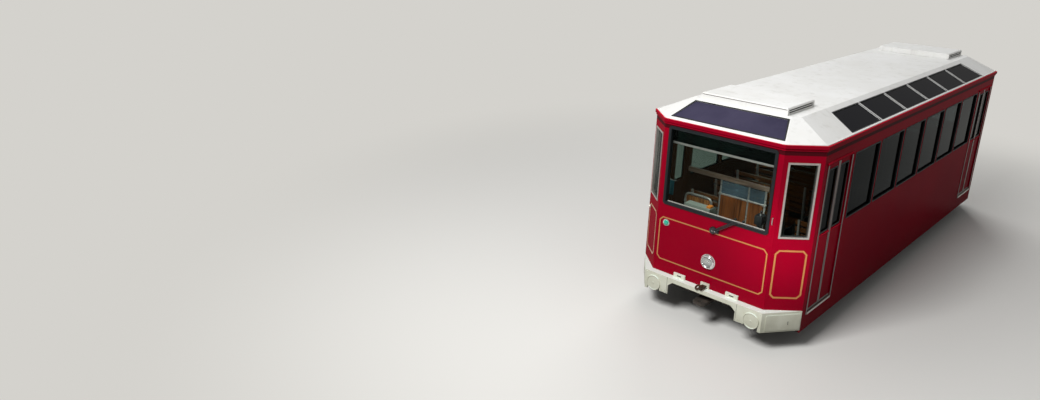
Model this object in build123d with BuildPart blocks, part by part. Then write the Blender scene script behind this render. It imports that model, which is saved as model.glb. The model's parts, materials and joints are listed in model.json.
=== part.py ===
"""Funicular railway car: one car body on two four-wheel bogies.

Millimetres. X is the car's width, Y its length with the downhill end at -Y, Z up from
the bottom of the wheel flanges. The body is the same at both ends and on both sides.
"""
from build123d import *
from math import atan2, cos, degrees, radians, sin, sqrt, tan
import os

os.makedirs("parts", exist_ok=True)

# Track and running gear
track_gauge = 1520
flange_height = 28
flange_thickness = 30
flange_clearance = 5
wheel_radius = 185
wheel_width = 130
tread_taper = 3
dish_depth = 45
hub_radius = 60
axle_radius = 50
axle_box_size = 150
axle_box_thickness = 80
bogie_wheelbase = 1100
bogie_inset = 1800
frame_spacing = 1200
bogie_beam_height = 90
bogie_transom_width = 320
pivot_radius = 60
pivot_length = 60
pivot_plate_size = 240
swivel_gap = 16
running_clearance = 0.3
moving_clearance = 8
brake_jaw_width = 240
brake_jaw_height = 90
brake_jaw_inner = 120
brake_jaw_outer = 90
brake_plate = 50

# Body plan
body_length = 8600
body_width = 2580
nose_width = 1800
chamfer_depth = 362
wall_thickness = 60

# Heights above the bottom of the flanges
panel_bottom = 276
skirt_bottom = 314
skirt_top = 610
floor_top = 545
floor_thickness = 45
window_sill = 1686
window_head = 2650
door_bottom = 510
door_head = 2657
cornice_bottom = 2868
eave_height = 2943
roof_rise = 248
roof_inset = 485
roof_thickness = 30

# Sills and cross members
sill_height = 70
sill_width = 80
centre_sill_spacing = 900
outer_sill_inset = 30
cross_member_width = 70
cross_member_pitch = 900
member_lift = 15
drawbar_width = 200
drawbar_thickness = 40
drawbar_reach = 60
drawbar_bore = 25
drawbar_corner = 40

# Cornice mouldings
cornice_overhang = 26
fascia_proud = 12
fascia_height = 22
groove_height = 9

# Windscreen and corner windows
windscreen_width = 1650
windscreen_bottom = 1675
windscreen_top = 2850
windscreen_radius = 45
rubber_width = 42
rubber_proud = 12
corner_window_width = 408
corner_window_bottom = 1662
corner_window_top = 2712
corner_frame_width = 26
corner_frame_proud = 8
glass_thickness = 8

# Side windows
side_window_count = 6
side_window_start = 1351
window_post = 62

# Doors: two leaves in each doorway, each hinged on its own post
door_start = 503
door_width = 751
door_thickness = 36
door_recess = 12
door_gap = 12
door_window_inset = 48
door_window_drop = 70
hinge_tube_radius = 12
threshold_height = 30
threshold_proud = 14

# Front skirt
skirt_proud = 110
skirt_nose_width = 1890
skirt_wall = 20
bar_depth = 63
cowl_inner = 476
cowl_outer = 548
cowl_depth = 127
side_panel_depth = 265
disc_offset = 796
disc_radius = 118
disc_drop = 170
disc_proud = 8
notch_half_width = 106
notch_depth = 215

# Fittings on the ends
plate_spacing = 852
plate_width = 190
plate_height = 66
plate_depth = 24
hook_plate_width = 138
hook_plate_height = 78
hook_reach = 120
hook_thickness = 24
hook_bore = 14
headlight_height = 1016
headlight_radius = 105
headlight_proud = 38
headlight_rim = 22
headlight_chamfer = 14
lens_seat = 8
lens_thickness = 22
lamp_offset = 738
lamp_height = 1397
lamp_radius = 42
lamp_proud = 30
lamp_chamfer = 12
wiper_offset = 50
wiper_height = 1511
wiper_box_width = 133
wiper_box_height = 62
wiper_box_depth = 34
wiper_bar = 14
wiper_arm_spacing = 40
blade_start = 300
blade_length = 450
blade_lift = 4

# Roof
pod_width = 1300
pod_length = 810
pod_height = 100
pod_wall = 25
pod_slot_height = 46
pod_slot_margin = 45
pod_chamfer = 14
end_light_low_width = 1680
end_light_high_width = 1392
end_light_low = 70
end_light_high = 425
side_light_low = 40
side_light_high = 395
side_light_start = 1270
side_light_foot_start = 1210
side_light_head_start = 1345
light_bar = 60
light_thickness = 8

# Interior
aisle_width = 460
aisle_offset = 360
bench_rows = 8
bench_first = 385
bench_pitch = 735
bench_depth = 430
bench_height = 430
bench_back_height = 930
bench_back_lean = 90
slat_count = 4
slat_thickness = 22
slat_gap = 14
back_slat_gap = 42
back_slat_foot = 60
bench_frame_thickness = 30
bench_frame_inset = 60
bench_leg = 50
bench_rail = 60
bench_spine = 28
wall_gap = 12
partition_start = 1330
partition_thickness = 35
partition_height = 996
panel_start = 636
panel_joint = 160
rail_radius = 15
post_radius = 15
header_bottom = 1783
header_height = 77
header_thickness = 45
header_overhang = 45
partition_pane = 6
barrier_gap = 60
barrier_width = 490
barrier_top = 1450
barrier_bar = 28
barrier_radius = 90
barrier_board_bottom = 700
barrier_board_top = 1400
barrier_board = 20
desk_depth = 330
desk_height = 900
desk_width = 1500
desk_wall = 25
console_start = 560
console_width = 410
console_height = 275
console_depth = 230
console_slope = 90

# Sizes that follow
half_length = body_length / 2
half_width = body_width / 2
half_nose = nose_width / 2
inner_half_width = half_width - wall_thickness
corner_run = half_width - half_nose
corner_turn = atan2(chamfer_depth, corner_run)
side_end = half_length - chamfer_depth
axle_height = wheel_radius + flange_height
floor_bottom = floor_top - floor_thickness
side_window_pitch = (body_length - 2 * side_window_start) / side_window_count
roof_top = eave_height + roof_rise
bogie_spacing = body_length - 2 * bogie_inset

ENDS = {"front": -1, "rear": 1}
SIDES = {"left": -1, "right": 1}


def body_corners(grow=0.0):
    """The eight corners of the body's plan, moved out by grow, anticlockwise."""
    x_nose = half_nose + grow * tan(corner_turn / 2)
    y_nose = half_length + grow
    x_side = half_width + grow
    y_side = side_end + grow * tan((radians(90) - corner_turn) / 2)
    quarter = [(x_nose, y_nose), (x_side, y_side)]
    front = [(x, -y) for x, y in quarter]
    rear = [(x, y) for x, y in reversed(quarter)]
    right = front + rear
    return right + [(-x, y) for x, y in reversed(right)]


def outward_plane(x, y, normal):
    """An upright plane through (x, y, 0) that looks along normal, with its own y up."""
    across = Vector(0, 0, 1).cross(Vector(*normal))
    return Plane(origin=(x, y, 0), x_dir=across, z_dir=normal)


def end_plane(end, out=0.0):
    """The plane of a nose, out millimetres proud of it."""
    return outward_plane(0, end * (half_length + out), (0, end, 0))


def side_plane(side, out=0.0):
    """The plane of a side wall, out millimetres proud of it."""
    return outward_plane(side * (half_width + out), 0, (side, 0, 0))


def corner_plane(side, end, out=0.0):
    """The plane of a chamfered corner, its origin midway along the corner."""
    normal = (side * sin(corner_turn), end * cos(corner_turn), 0)
    x = side * ((half_nose + half_width) / 2 + out * sin(corner_turn))
    y = end * (half_length - chamfer_depth / 2 + out * cos(corner_turn))
    return outward_plane(x, y, normal)


def keep(sub_part, name):
    """Label a finished sub-part and write its STEP file."""
    sub_part.part.label = name
    export_step(sub_part.part, f"parts/{name}.step")


# Wheelsets: an axle with two flanged, dished wheels, turned as one piece
back_face = track_gauge / 2 - flange_thickness - flange_clearance
front_face = back_face + wheel_width
flange_radius = wheel_radius + flange_height
axle_places = {
    f"wheelset_{end_name}_{place}": end * bogie_spacing / 2 + shift * bogie_wheelbase / 2
    for end_name, end in ENDS.items()
    for place, shift in (("outer", end), ("inner", -end))
}

for name, axle_y in axle_places.items():
    profile_plane = Plane(origin=(0, axle_y, axle_height), x_dir=(1, 0, 0), z_dir=(0, -1, 0))
    with BuildPart() as wheelset:
        with BuildSketch(profile_plane):
            Polygon(
                (0, 0),
                (0, axle_radius),
                (back_face, axle_radius),
                (back_face, flange_radius),
                (back_face + flange_thickness, wheel_radius),
                (front_face, wheel_radius - tread_taper),
                (front_face - dish_depth, hub_radius),
                (front_face - dish_depth, 0),
                align=None,
            )
        revolve(axis=Axis((0, axle_y, axle_height), (1, 0, 0)))
        mirror(about=Plane.YZ)
    keep(wheelset, name)

# Bogie frames: two inside beams with axle boxes, a transom and the pivot seat
bogie_top = floor_bottom - sill_height - running_clearance
beam_bottom = bogie_top - bogie_beam_height
beam_top = bogie_top - swivel_gap
box_bottom = axle_height - axle_box_size / 2
for end_name, end in ENDS.items():
    centre_y = end * bogie_spacing / 2
    with BuildPart() as bogie_frame:
        for side in SIDES.values():
            beam_plane = Plane(
                origin=(side * frame_spacing / 2, centre_y, 0), x_dir=(0, 1, 0), z_dir=(1, 0, 0)
            )
            with BuildSketch(beam_plane):
                with Locations((0, (beam_top + beam_bottom) / 2)):
                    Rectangle(bogie_wheelbase + axle_box_size, beam_top - beam_bottom)
                for shift in (-1, 1):
                    with Locations((shift * bogie_wheelbase / 2, (box_bottom + beam_top) / 2)):
                        Rectangle(axle_box_size, beam_top - box_bottom)
            extrude(amount=axle_box_thickness / 2, both=True)
            with BuildSketch(beam_plane):
                with Locations((-bogie_wheelbase / 2, axle_height), (bogie_wheelbase / 2, axle_height)):
                    Circle(axle_radius + running_clearance)
            extrude(amount=axle_box_thickness, both=True, mode=Mode.SUBTRACT)
        with BuildSketch(Plane.XY.offset(beam_bottom)):
            with Locations((0, centre_y)):
                Rectangle(frame_spacing, bogie_transom_width)
        extrude(amount=beam_top - beam_bottom)
        with BuildSketch(Plane.XY.offset(beam_bottom)):
            with Locations((0, centre_y)):
                Rectangle(pivot_plate_size, pivot_plate_size)
        extrude(amount=bogie_top - beam_bottom)
        with BuildSketch(Plane.XY.offset(beam_bottom)):
            with Locations((0, centre_y)):
                Circle(pivot_radius + running_clearance)
        extrude(amount=bogie_top - beam_bottom, mode=Mode.SUBTRACT)
    keep(bogie_frame, f"bogie_frame_{end_name}")

    # Rail brakes: a caliper under each end of the transom, its jaws just over the rails
    jaw_inner = track_gauge / 2 - brake_jaw_inner
    jaw_outer = track_gauge / 2 + brake_jaw_outer
    post_foot = axle_height - brake_jaw_height / 4
    with BuildPart() as rail_brake:
        for side in SIDES.values():
            with BuildSketch(Plane(origin=(0, centre_y, 0), x_dir=(1, 0, 0), z_dir=(0, -1, 0))):
                with Locations((side * (jaw_inner + jaw_outer) / 2, axle_height)):
                    Rectangle(jaw_outer - jaw_inner, brake_jaw_height)
                for x in (jaw_inner + brake_plate / 2, jaw_outer - brake_plate / 2):
                    with Locations((side * x, (axle_height + flange_height) / 2)):
                        Rectangle(brake_plate, axle_height - flange_height + brake_jaw_height / 2)
                with Locations((side * (frame_spacing / 2 + jaw_inner) / 2, axle_height)):
                    Rectangle(jaw_inner - frame_spacing / 2, brake_jaw_height / 2)
                with Locations((side * frame_spacing / 2, (post_foot + beam_bottom) / 2)):
                    Rectangle(axle_box_thickness, beam_bottom - post_foot)
            extrude(amount=brake_jaw_width / 2, both=True)
    keep(rail_brake, f"rail_brake_{end_name}")

# Underframe: centre and outer sills, with members and bolsters in the bays between them
sill_bottom = floor_bottom - sill_height
sill_end = half_length - wall_thickness - sill_width
outer_sill_x = inner_half_width - outer_sill_inset - sill_width / 2
with BuildPart() as sills:
    with BuildSketch(Plane.XY.offset(sill_bottom)):
        with Locations((-centre_sill_spacing / 2, 0), (centre_sill_spacing / 2, 0)):
            Rectangle(sill_width, 2 * sill_end)
        with Locations((-outer_sill_x, 0), (outer_sill_x, 0)):
            Rectangle(sill_width, 2 * side_end)
    extrude(amount=sill_height)
keep(sills, "underframe_sills")

bay_edge = (centre_sill_spacing + sill_width) / 2
side_bay_width = outer_sill_x - sill_width / 2 - bay_edge
side_bay_middle = bay_edge + side_bay_width / 2
bays = [
    # middle of the bay, its width
    (-side_bay_middle, side_bay_width),
    (0, centre_sill_spacing - sill_width),
    (side_bay_middle, side_bay_width),
]
bolster_edge = (bogie_spacing + bogie_transom_width) / 2
middle_run = bogie_spacing - bogie_transom_width
middle_count = int(middle_run / cross_member_pitch)
outer_run = side_end - cross_member_width / 2 - bolster_edge
outer_count = int(outer_run / cross_member_pitch) + 1
outer_places = [bolster_edge + (index + 1) * outer_run / outer_count for index in range(outer_count)]

with BuildPart() as cross_members:
    with BuildSketch(Plane.XY.offset(sill_bottom + member_lift)):
        for bay_x, bay_width in bays:
            with Locations((bay_x, 0)):
                with GridLocations(0, middle_run / (middle_count + 1), 1, middle_count):
                    Rectangle(bay_width, cross_member_width)
            with Locations(*[(bay_x, end * y) for y in outer_places for end in ENDS.values()]):
                Rectangle(bay_width, cross_member_width)
    extrude(amount=sill_height - member_lift)
    with BuildSketch(Plane.XY.offset(sill_bottom)):
        with Locations((0, -sill_end - sill_width / 2), (0, sill_end + sill_width / 2)):
            Rectangle(nose_width - 2 * wall_thickness, sill_width)
    extrude(amount=sill_height)
keep(cross_members, "cross_members")

pivot_places = [(0, -bogie_spacing / 2), (0, bogie_spacing / 2)]
with BuildPart() as bolsters:
    with BuildSketch(Plane.XY.offset(sill_bottom)):
        for bay_x, bay_width in bays:
            with Locations(*[(bay_x, y) for _, y in pivot_places]):
                Rectangle(bay_width, bogie_transom_width)
    extrude(amount=sill_height)
    with BuildSketch(Plane.XY.offset(sill_bottom - pivot_length)):
        with Locations(*pivot_places):
            Circle(pivot_radius)
    extrude(amount=pivot_length)
keep(bolsters, "bolsters")

drawbar_end = half_length + skirt_proud + drawbar_reach
drawbar_length = drawbar_end - sill_end
with BuildPart() as drawbars:
    with BuildSketch(Plane.XY.offset(sill_bottom - drawbar_thickness)):
        for end in ENDS.values():
            with Locations((0, end * (drawbar_end - drawbar_length / 2))):
                bar = Rectangle(drawbar_width, drawbar_length)
            tip_corners = bar.vertices().group_by(Axis.Y)[0 if end < 0 else -1]
            chamfer(tip_corners, length=drawbar_corner)
            with Locations((0, end * (half_length + skirt_proud))):
                Circle(drawbar_bore, mode=Mode.SUBTRACT)
    extrude(amount=drawbar_thickness)
keep(drawbars, "drawbars")

# Floor plate between the walls
with BuildPart() as floor_plate:
    with BuildSketch(Plane.XY.offset(floor_bottom)):
        Polygon(*body_corners(-wall_thickness), align=None)
    extrude(amount=floor_thickness)
keep(floor_plate, "floor_plate")


# Side walls, each with two doorways and a row of windows
def mirror_start(start, width):
    """Middle of an opening that begins start behind the nose, at both ends."""
    middle = half_length - start - width / 2
    return (-middle, middle)


door_middles = mirror_start(door_start, door_width)
window_middles = [
    -half_length + side_window_start + (index + 0.5) * side_window_pitch
    for index in range(side_window_count)
]
window_width = side_window_pitch - window_post
window_height = window_head - window_sill
window_middle_z = (window_head + window_sill) / 2

for side_name, side in SIDES.items():
    with BuildPart() as side_wall:
        with BuildSketch(side_plane(side)):
            with Locations((0, (panel_bottom + cornice_bottom) / 2)):
                Rectangle(2 * side_end, cornice_bottom - panel_bottom)
        extrude(amount=-wall_thickness)
        with BuildSketch(side_plane(side)):
            with Locations(*[(y, (door_bottom + door_head) / 2) for y in door_middles]):
                Rectangle(door_width, door_head - door_bottom)
            with Locations(*[(y, window_middle_z) for y in window_middles]):
                Rectangle(window_width, window_height)
        extrude(amount=-wall_thickness, mode=Mode.SUBTRACT)
    keep(side_wall, f"side_wall_{side_name}")

# Side window panes
with BuildPart() as side_glass:
    for side in SIDES.values():
        with BuildSketch(side_plane(side, -wall_thickness / 2)):
            with Locations(*[(y, window_middle_z) for y in window_middles]):
                Rectangle(window_width, window_height)
        extrude(amount=glass_thickness / 2, both=True)
keep(side_glass, "side_window_glass")

# Ends: the nose and its two chamfered corners, with windscreen and corner windows
windscreen_middle = (windscreen_bottom + windscreen_top) / 2
windscreen_height = windscreen_top - windscreen_bottom
corner_window_middle = (corner_window_bottom + corner_window_top) / 2
corner_outer = (corner_window_width, corner_window_top - corner_window_bottom)
corner_hole = (corner_outer[0] - 2 * corner_frame_proud, corner_outer[1] - 2 * corner_frame_proud)
windscreen_hole = (windscreen_width - 2 * rubber_proud, windscreen_height - 2 * rubber_proud)

for end_name, end in ENDS.items():
    with BuildPart() as end_wall:
        with BuildSketch(Plane.XY.offset(floor_bottom)):
            Polygon(*body_corners(), align=None)
            Polygon(*body_corners(-wall_thickness), align=None, mode=Mode.SUBTRACT)
            with Locations((0, end * (side_end + chamfer_depth))):
                Rectangle(2 * body_width, 2 * chamfer_depth, mode=Mode.INTERSECT)
        extrude(amount=cornice_bottom - floor_bottom)
        with BuildSketch(end_plane(end)):
            with Locations((0, windscreen_middle)):
                RectangleRounded(*windscreen_hole, windscreen_radius)
        extrude(amount=-wall_thickness, mode=Mode.SUBTRACT)
        for side in SIDES.values():
            with BuildSketch(corner_plane(side, end)):
                with Locations((0, corner_window_middle)):
                    Rectangle(*corner_hole)
            extrude(amount=-2 * wall_thickness, mode=Mode.SUBTRACT)
    keep(end_wall, f"{end_name}_end")


def ring(plane, middle_z, outer, width, radius=0.0):
    """The outline of a frame of the given outer size and width, its outer corners rounded, on a plane."""
    with BuildSketch(plane) as outline:
        with Locations((0, middle_z)):
            if radius:
                RectangleRounded(*outer, radius)
            else:
                Rectangle(*outer)
            Rectangle(outer[0] - 2 * width, outer[1] - 2 * width, mode=Mode.SUBTRACT)
    return outline.sketch


def pane(plane, middle_z, outer):
    """The outline of a sheet of glass of the given size, on a plane."""
    with BuildSketch(plane) as outline:
        with Locations((0, middle_z)):
            Rectangle(*outer)
    return outline.sketch


# Windscreens in black rubber frames, and corner windows in aluminium frames
rubber_outer = (windscreen_width, windscreen_height)
rubber_inner_width = rubber_width - rubber_proud
with BuildPart() as rubber:
    for end in ENDS.values():
        face_ring = ring(end_plane(end), windscreen_middle, rubber_outer, rubber_width, windscreen_radius)
        extrude(face_ring, amount=rubber_proud)
        lining = ring(
            end_plane(end), windscreen_middle, windscreen_hole, rubber_inner_width, windscreen_radius
        )
        extrude(lining, amount=-wall_thickness)
keep(rubber, "windscreen_frames")

glass_depth = wall_thickness / 2
with BuildPart() as windscreen:
    for end in ENDS.values():
        size = (windscreen_hole[0] - 2 * rubber_inner_width, windscreen_hole[1] - 2 * rubber_inner_width)
        sheet = pane(end_plane(end, -glass_depth), windscreen_middle, size)
        extrude(sheet, amount=glass_thickness / 2, both=True)
keep(windscreen, "windscreen_glass")

corner_inner_width = corner_frame_width - corner_frame_proud
with BuildPart() as corner_frames:
    for end in ENDS.values():
        for side in SIDES.values():
            plane = corner_plane(side, end)
            extrude(ring(plane, corner_window_middle, corner_outer, corner_frame_width), amount=corner_frame_proud)
            extrude(ring(plane, corner_window_middle, corner_hole, corner_inner_width), amount=-wall_thickness)
keep(corner_frames, "corner_window_frames")

with BuildPart() as corner_glass:
    for end in ENDS.values():
        for side in SIDES.values():
            size = (corner_hole[0] - 2 * corner_inner_width, corner_hole[1] - 2 * corner_inner_width)
            sheet = pane(corner_plane(side, end, -glass_depth), corner_window_middle, size)
            extrude(sheet, amount=glass_thickness / 2, both=True)
keep(corner_glass, "corner_window_glass")

# Cornice: a fascia, a groove and a proud bead round the top of the body
cornice_layers = [
    # height of its foot, height of its top, how far it stands out
    (cornice_bottom, cornice_bottom + fascia_height, fascia_proud),
    (cornice_bottom + fascia_height, cornice_bottom + fascia_height + groove_height, 0),
    (cornice_bottom + fascia_height + groove_height, eave_height, cornice_overhang),
]
with BuildPart() as cornice:
    for foot, top, proud in cornice_layers:
        with BuildSketch(Plane.XY.offset(foot)):
            Polygon(*body_corners(proud), align=None)
            Polygon(*body_corners(-wall_thickness), align=None, mode=Mode.SUBTRACT)
        extrude(amount=top - foot)
keep(cornice, "cornice")

# Roof: a faceted shell with a flat top, and glazed openings in its slopes
taper_angle = degrees(atan2(roof_inset, roof_rise))
shell_inset = roof_thickness / sin(atan2(roof_rise, roof_inset))


def slope_plane(normal_xy, out):
    """The sloping plane of one roof facet, its origin on the eave and its y up the slope."""
    across = Vector(0, 0, 1).cross(Vector(*normal_xy, 0))
    tilt = atan2(roof_rise, roof_inset)
    normal = Vector(normal_xy[0] * sin(tilt), normal_xy[1] * sin(tilt), cos(tilt))
    reach = Vector(normal_xy[0] * half_width, normal_xy[1] * half_length, eave_height)
    return Plane(origin=reach + normal * out, x_dir=across, z_dir=normal)


slope_stretch = 1 / cos(atan2(roof_rise, roof_inset))
side_light_count = side_window_count
side_light_pitch = (body_length - 2 * side_light_start) / side_light_count


def side_light_outlines():
    """Corners of a row of side lights on its slope; the first and the last follow the hips."""
    foot = side_light_low * slope_stretch
    head = side_light_high * slope_stretch
    outlines = []
    for index in range(side_light_count):
        start = -half_length + side_light_start + index * side_light_pitch + light_bar / 2
        stop = start + side_light_pitch - light_bar
        foot_start, head_start, foot_stop, head_stop = start, start, stop, stop
        if index == 0:
            foot_start = side_light_foot_start - half_length
            head_start = side_light_head_start - half_length
        if index == side_light_count - 1:
            foot_stop = half_length - side_light_foot_start
            head_stop = half_length - side_light_head_start
        outlines.append([(foot_start, foot), (foot_stop, foot), (head_stop, head), (head_start, head)])
    return outlines


def end_light_outline(shrink=0.0):
    """Corners of the tapered roof light over a nose, on its slope."""
    low = end_light_low * slope_stretch + shrink
    high = end_light_high * slope_stretch - shrink
    wide = end_light_low_width / 2 - shrink
    narrow = end_light_high_width / 2 - shrink
    return [(-wide, low), (wide, low), (narrow, high), (-narrow, high)]


with BuildPart() as roof:
    with BuildSketch(Plane.XY.offset(eave_height)):
        Polygon(*body_corners(), align=None)
    extrude(amount=roof_rise, taper=taper_angle)
    with BuildSketch(Plane.XY.offset(eave_height)):
        Polygon(*body_corners(-shell_inset), align=None)
    extrude(amount=roof_rise - roof_thickness, taper=taper_angle, mode=Mode.SUBTRACT)
    for end in ENDS.values():
        with BuildSketch(slope_plane((0, end), 0)):
            Polygon(*end_light_outline(), align=None)
        extrude(amount=2 * roof_thickness, both=True, mode=Mode.SUBTRACT)
    for side in SIDES.values():
        with BuildSketch(slope_plane((side, 0), 0)):
            for outline in side_light_outlines():
                Polygon(*outline, align=None)
        extrude(amount=2 * roof_thickness, both=True, mode=Mode.SUBTRACT)
keep(roof, "roof_shell")

with BuildPart() as roof_glass:
    for end in ENDS.values():
        with BuildSketch(slope_plane((0, end), -light_thickness)):
            Polygon(*end_light_outline(), align=None)
        extrude(amount=-light_thickness)
    for side in SIDES.values():
        with BuildSketch(slope_plane((side, 0), -light_thickness)):
            for outline in side_light_outlines():
                Polygon(*outline, align=None)
        extrude(amount=-light_thickness)
keep(roof_glass, "roof_light_glass")

# Roof pods: flat hollow boxes with a vent slot in each side
for end_name, end in ENDS.items():
    pod_y = end * (half_length - roof_inset - pod_length / 2)
    with BuildPart() as pod:
        with BuildSketch(Plane.XY.offset(roof_top)):
            with Locations((0, pod_y)):
                Rectangle(pod_width, pod_length)
        extrude(amount=pod_height)
        top_rim = pod.faces().sort_by(Axis.Z)[-1].edges()
        chamfer(top_rim, length=pod_chamfer)
        with BuildSketch(Plane.XY.offset(roof_top)):
            with Locations((0, pod_y)):
                Rectangle(pod_width - 2 * pod_wall, pod_length - 2 * pod_wall)
        extrude(amount=pod_height - pod_wall, mode=Mode.SUBTRACT)
        with BuildSketch(Plane.YZ):
            with Locations((pod_y, roof_top + pod_height / 2)):
                Rectangle(pod_length - 2 * pod_slot_margin, pod_slot_height)
        extrude(amount=pod_width, both=True, mode=Mode.SUBTRACT)
    keep(pod, f"roof_pod_{end_name}")

# Skirts: a ledge and a fall plate round each nose, with a disc in front of each rail
for end_name, end in ENDS.items():
    side_reach = half_length - chamfer_depth
    skirt_outline = [
        (-half_width, end * (side_reach - chamfer_depth)),
        (half_width, end * (side_reach - chamfer_depth)),
        (half_width, end * side_reach),
        (skirt_nose_width / 2, end * (half_length + skirt_proud)),
        (-skirt_nose_width / 2, end * (half_length + skirt_proud)),
        (-half_width, end * side_reach),
    ]
    below = skirt_top - bar_depth
    with BuildPart() as skirt:
        with BuildSketch(Plane.XY.offset(skirt_bottom)) as wall_plan:
            Polygon(*skirt_outline, align=None)
            offset(amount=-skirt_wall, kind=Kind.INTERSECTION, mode=Mode.SUBTRACT)
            with Locations((0, end * (side_reach + chamfer_depth))):
                Rectangle(2 * body_width, 2 * chamfer_depth, mode=Mode.INTERSECT)
            Polygon(*body_corners(), align=None, mode=Mode.SUBTRACT)
        extrude(amount=skirt_top - skirt_bottom)
        with BuildSketch(Plane.XY.offset(skirt_top - skirt_wall)):
            Polygon(*skirt_outline, align=None)
            Polygon(*body_corners(), align=None, mode=Mode.SUBTRACT)
        extrude(amount=skirt_wall)
        with BuildSketch(end_plane(end, skirt_proud + disc_proud)):
            Polygon(
                (-cowl_outer, skirt_bottom - skirt_wall),
                (-cowl_outer, skirt_top - cowl_depth),
                (-cowl_inner, below),
                (cowl_inner, below),
                (cowl_outer, skirt_top - cowl_depth),
                (cowl_outer, skirt_bottom - skirt_wall),
                align=None,
            )
            for side in SIDES.values():
                panel_end = disc_offset + notch_half_width
                for middle, reach, depth in (
                    ((cowl_outer + panel_end) / 2, panel_end - cowl_outer, side_panel_depth),
                    (disc_offset, 2 * notch_half_width, notch_depth),
                ):
                    cut_foot = skirt_bottom - skirt_wall
                    cut_head = skirt_top - depth
                    with Locations((side * middle, (cut_foot + cut_head) / 2)):
                        Rectangle(reach, cut_head - cut_foot)
        extrude(amount=-(skirt_wall * 2 + disc_proud), mode=Mode.SUBTRACT)
        with BuildSketch(end_plane(end, skirt_proud - skirt_wall)):
            with Locations((-disc_offset, skirt_top - disc_drop), (disc_offset, skirt_top - disc_drop)):
                Circle(disc_radius)
        extrude(amount=skirt_wall + disc_proud)
    keep(skirt, f"skirt_{end_name}")

# Small plates over the ledges, and the towing hooks between them
with BuildPart() as step_plates:
    for end in ENDS.values():
        with BuildSketch(end_plane(end)):
            with Locations(
                (-plate_spacing / 2, skirt_top + plate_height / 2),
                (plate_spacing / 2, skirt_top + plate_height / 2),
            ):
                Rectangle(plate_width, plate_height)
        extrude(amount=plate_depth)
keep(step_plates, "ledge_plates")

with BuildPart() as hooks:
    for end in ENDS.values():
        with BuildSketch(end_plane(end)):
            with Locations((0, skirt_top + hook_plate_height / 2)):
                Rectangle(hook_plate_width, hook_plate_height)
        extrude(amount=plate_depth)
        hook_middle = skirt_top + hook_plate_height / 2
        with BuildSketch(Plane.XY.offset(hook_middle - hook_thickness / 2)):
            with Locations((0, end * (half_length + hook_reach / 2))):
                Rectangle(hook_plate_width / 2, hook_reach)
            with Locations((0, end * (half_length + hook_reach))):
                Circle(hook_plate_width / 4)
            with Locations((0, end * (half_length + hook_reach))):
                Circle(hook_bore, mode=Mode.SUBTRACT)
        extrude(amount=hook_thickness)
keep(hooks, "towing_brackets")

# Lamps
with BuildPart() as headlights:
    for end in ENDS.values():
        with BuildSketch(end_plane(end)):
            with Locations((0, headlight_height)):
                Circle(headlight_radius)
        extrude(amount=headlight_proud)
        rim = headlights.faces().filter_by(Axis.Y).sort_by(Axis.Y)[-1 if end > 0 else 0].edges()
        chamfer(rim, length=headlight_chamfer)
        with BuildSketch(end_plane(end, headlight_proud)):
            with Locations((0, headlight_height)):
                Circle(headlight_radius - headlight_rim)
        extrude(amount=lens_seat - headlight_proud, mode=Mode.SUBTRACT)
keep(headlights, "headlight_rims")

with BuildPart() as lenses:
    for end in ENDS.values():
        with BuildSketch(end_plane(end, lens_seat)):
            with Locations((0, headlight_height)):
                Circle(headlight_radius - headlight_rim)
        extrude(amount=lens_thickness)
keep(lenses, "headlight_lenses")

with BuildPart() as lamps:
    for end in ENDS.values():
        with BuildSketch(end_plane(end)):
            with Locations((-lamp_offset, lamp_height)):
                Circle(lamp_radius)
        extrude(amount=lamp_proud)
        rim = lamps.faces().filter_by(Axis.Y).sort_by(Axis.Y)[-1 if end > 0 else 0].edges()
        chamfer(rim, length=lamp_chamfer)
keep(lamps, "marker_lamps")

# Wipers: a drive box under each windscreen, two parallel arms and the blade laid along the rubber
blade_height = windscreen_bottom + rubber_width + blade_lift
arm_rise = blade_height - wiper_height
arm_run = blade_start - wiper_offset + wiper_arm_spacing / 2
arm_length = sqrt(arm_rise**2 + arm_run**2)
arm_out = rubber_proud + running_clearance
with BuildPart() as wipers:
    for end in ENDS.values():
        with BuildSketch(end_plane(end)):
            with Locations((wiper_offset, wiper_height)):
                Rectangle(wiper_box_width, wiper_box_height)
        extrude(amount=wiper_box_depth)
        with BuildSketch(end_plane(end, arm_out)):
            for shift in (-1, 1):
                arm_foot = wiper_offset + shift * wiper_arm_spacing / 2
                with Locations((arm_foot + arm_run / 2, wiper_height + arm_rise / 2)):
                    Rectangle(arm_length, wiper_bar, rotation=degrees(atan2(arm_rise, arm_run)))
            with Locations((blade_start + blade_length / 2, blade_height)):
                Rectangle(blade_length, wiper_bar)
        extrude(amount=wiper_bar)
keep(wipers, "wipers")

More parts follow.
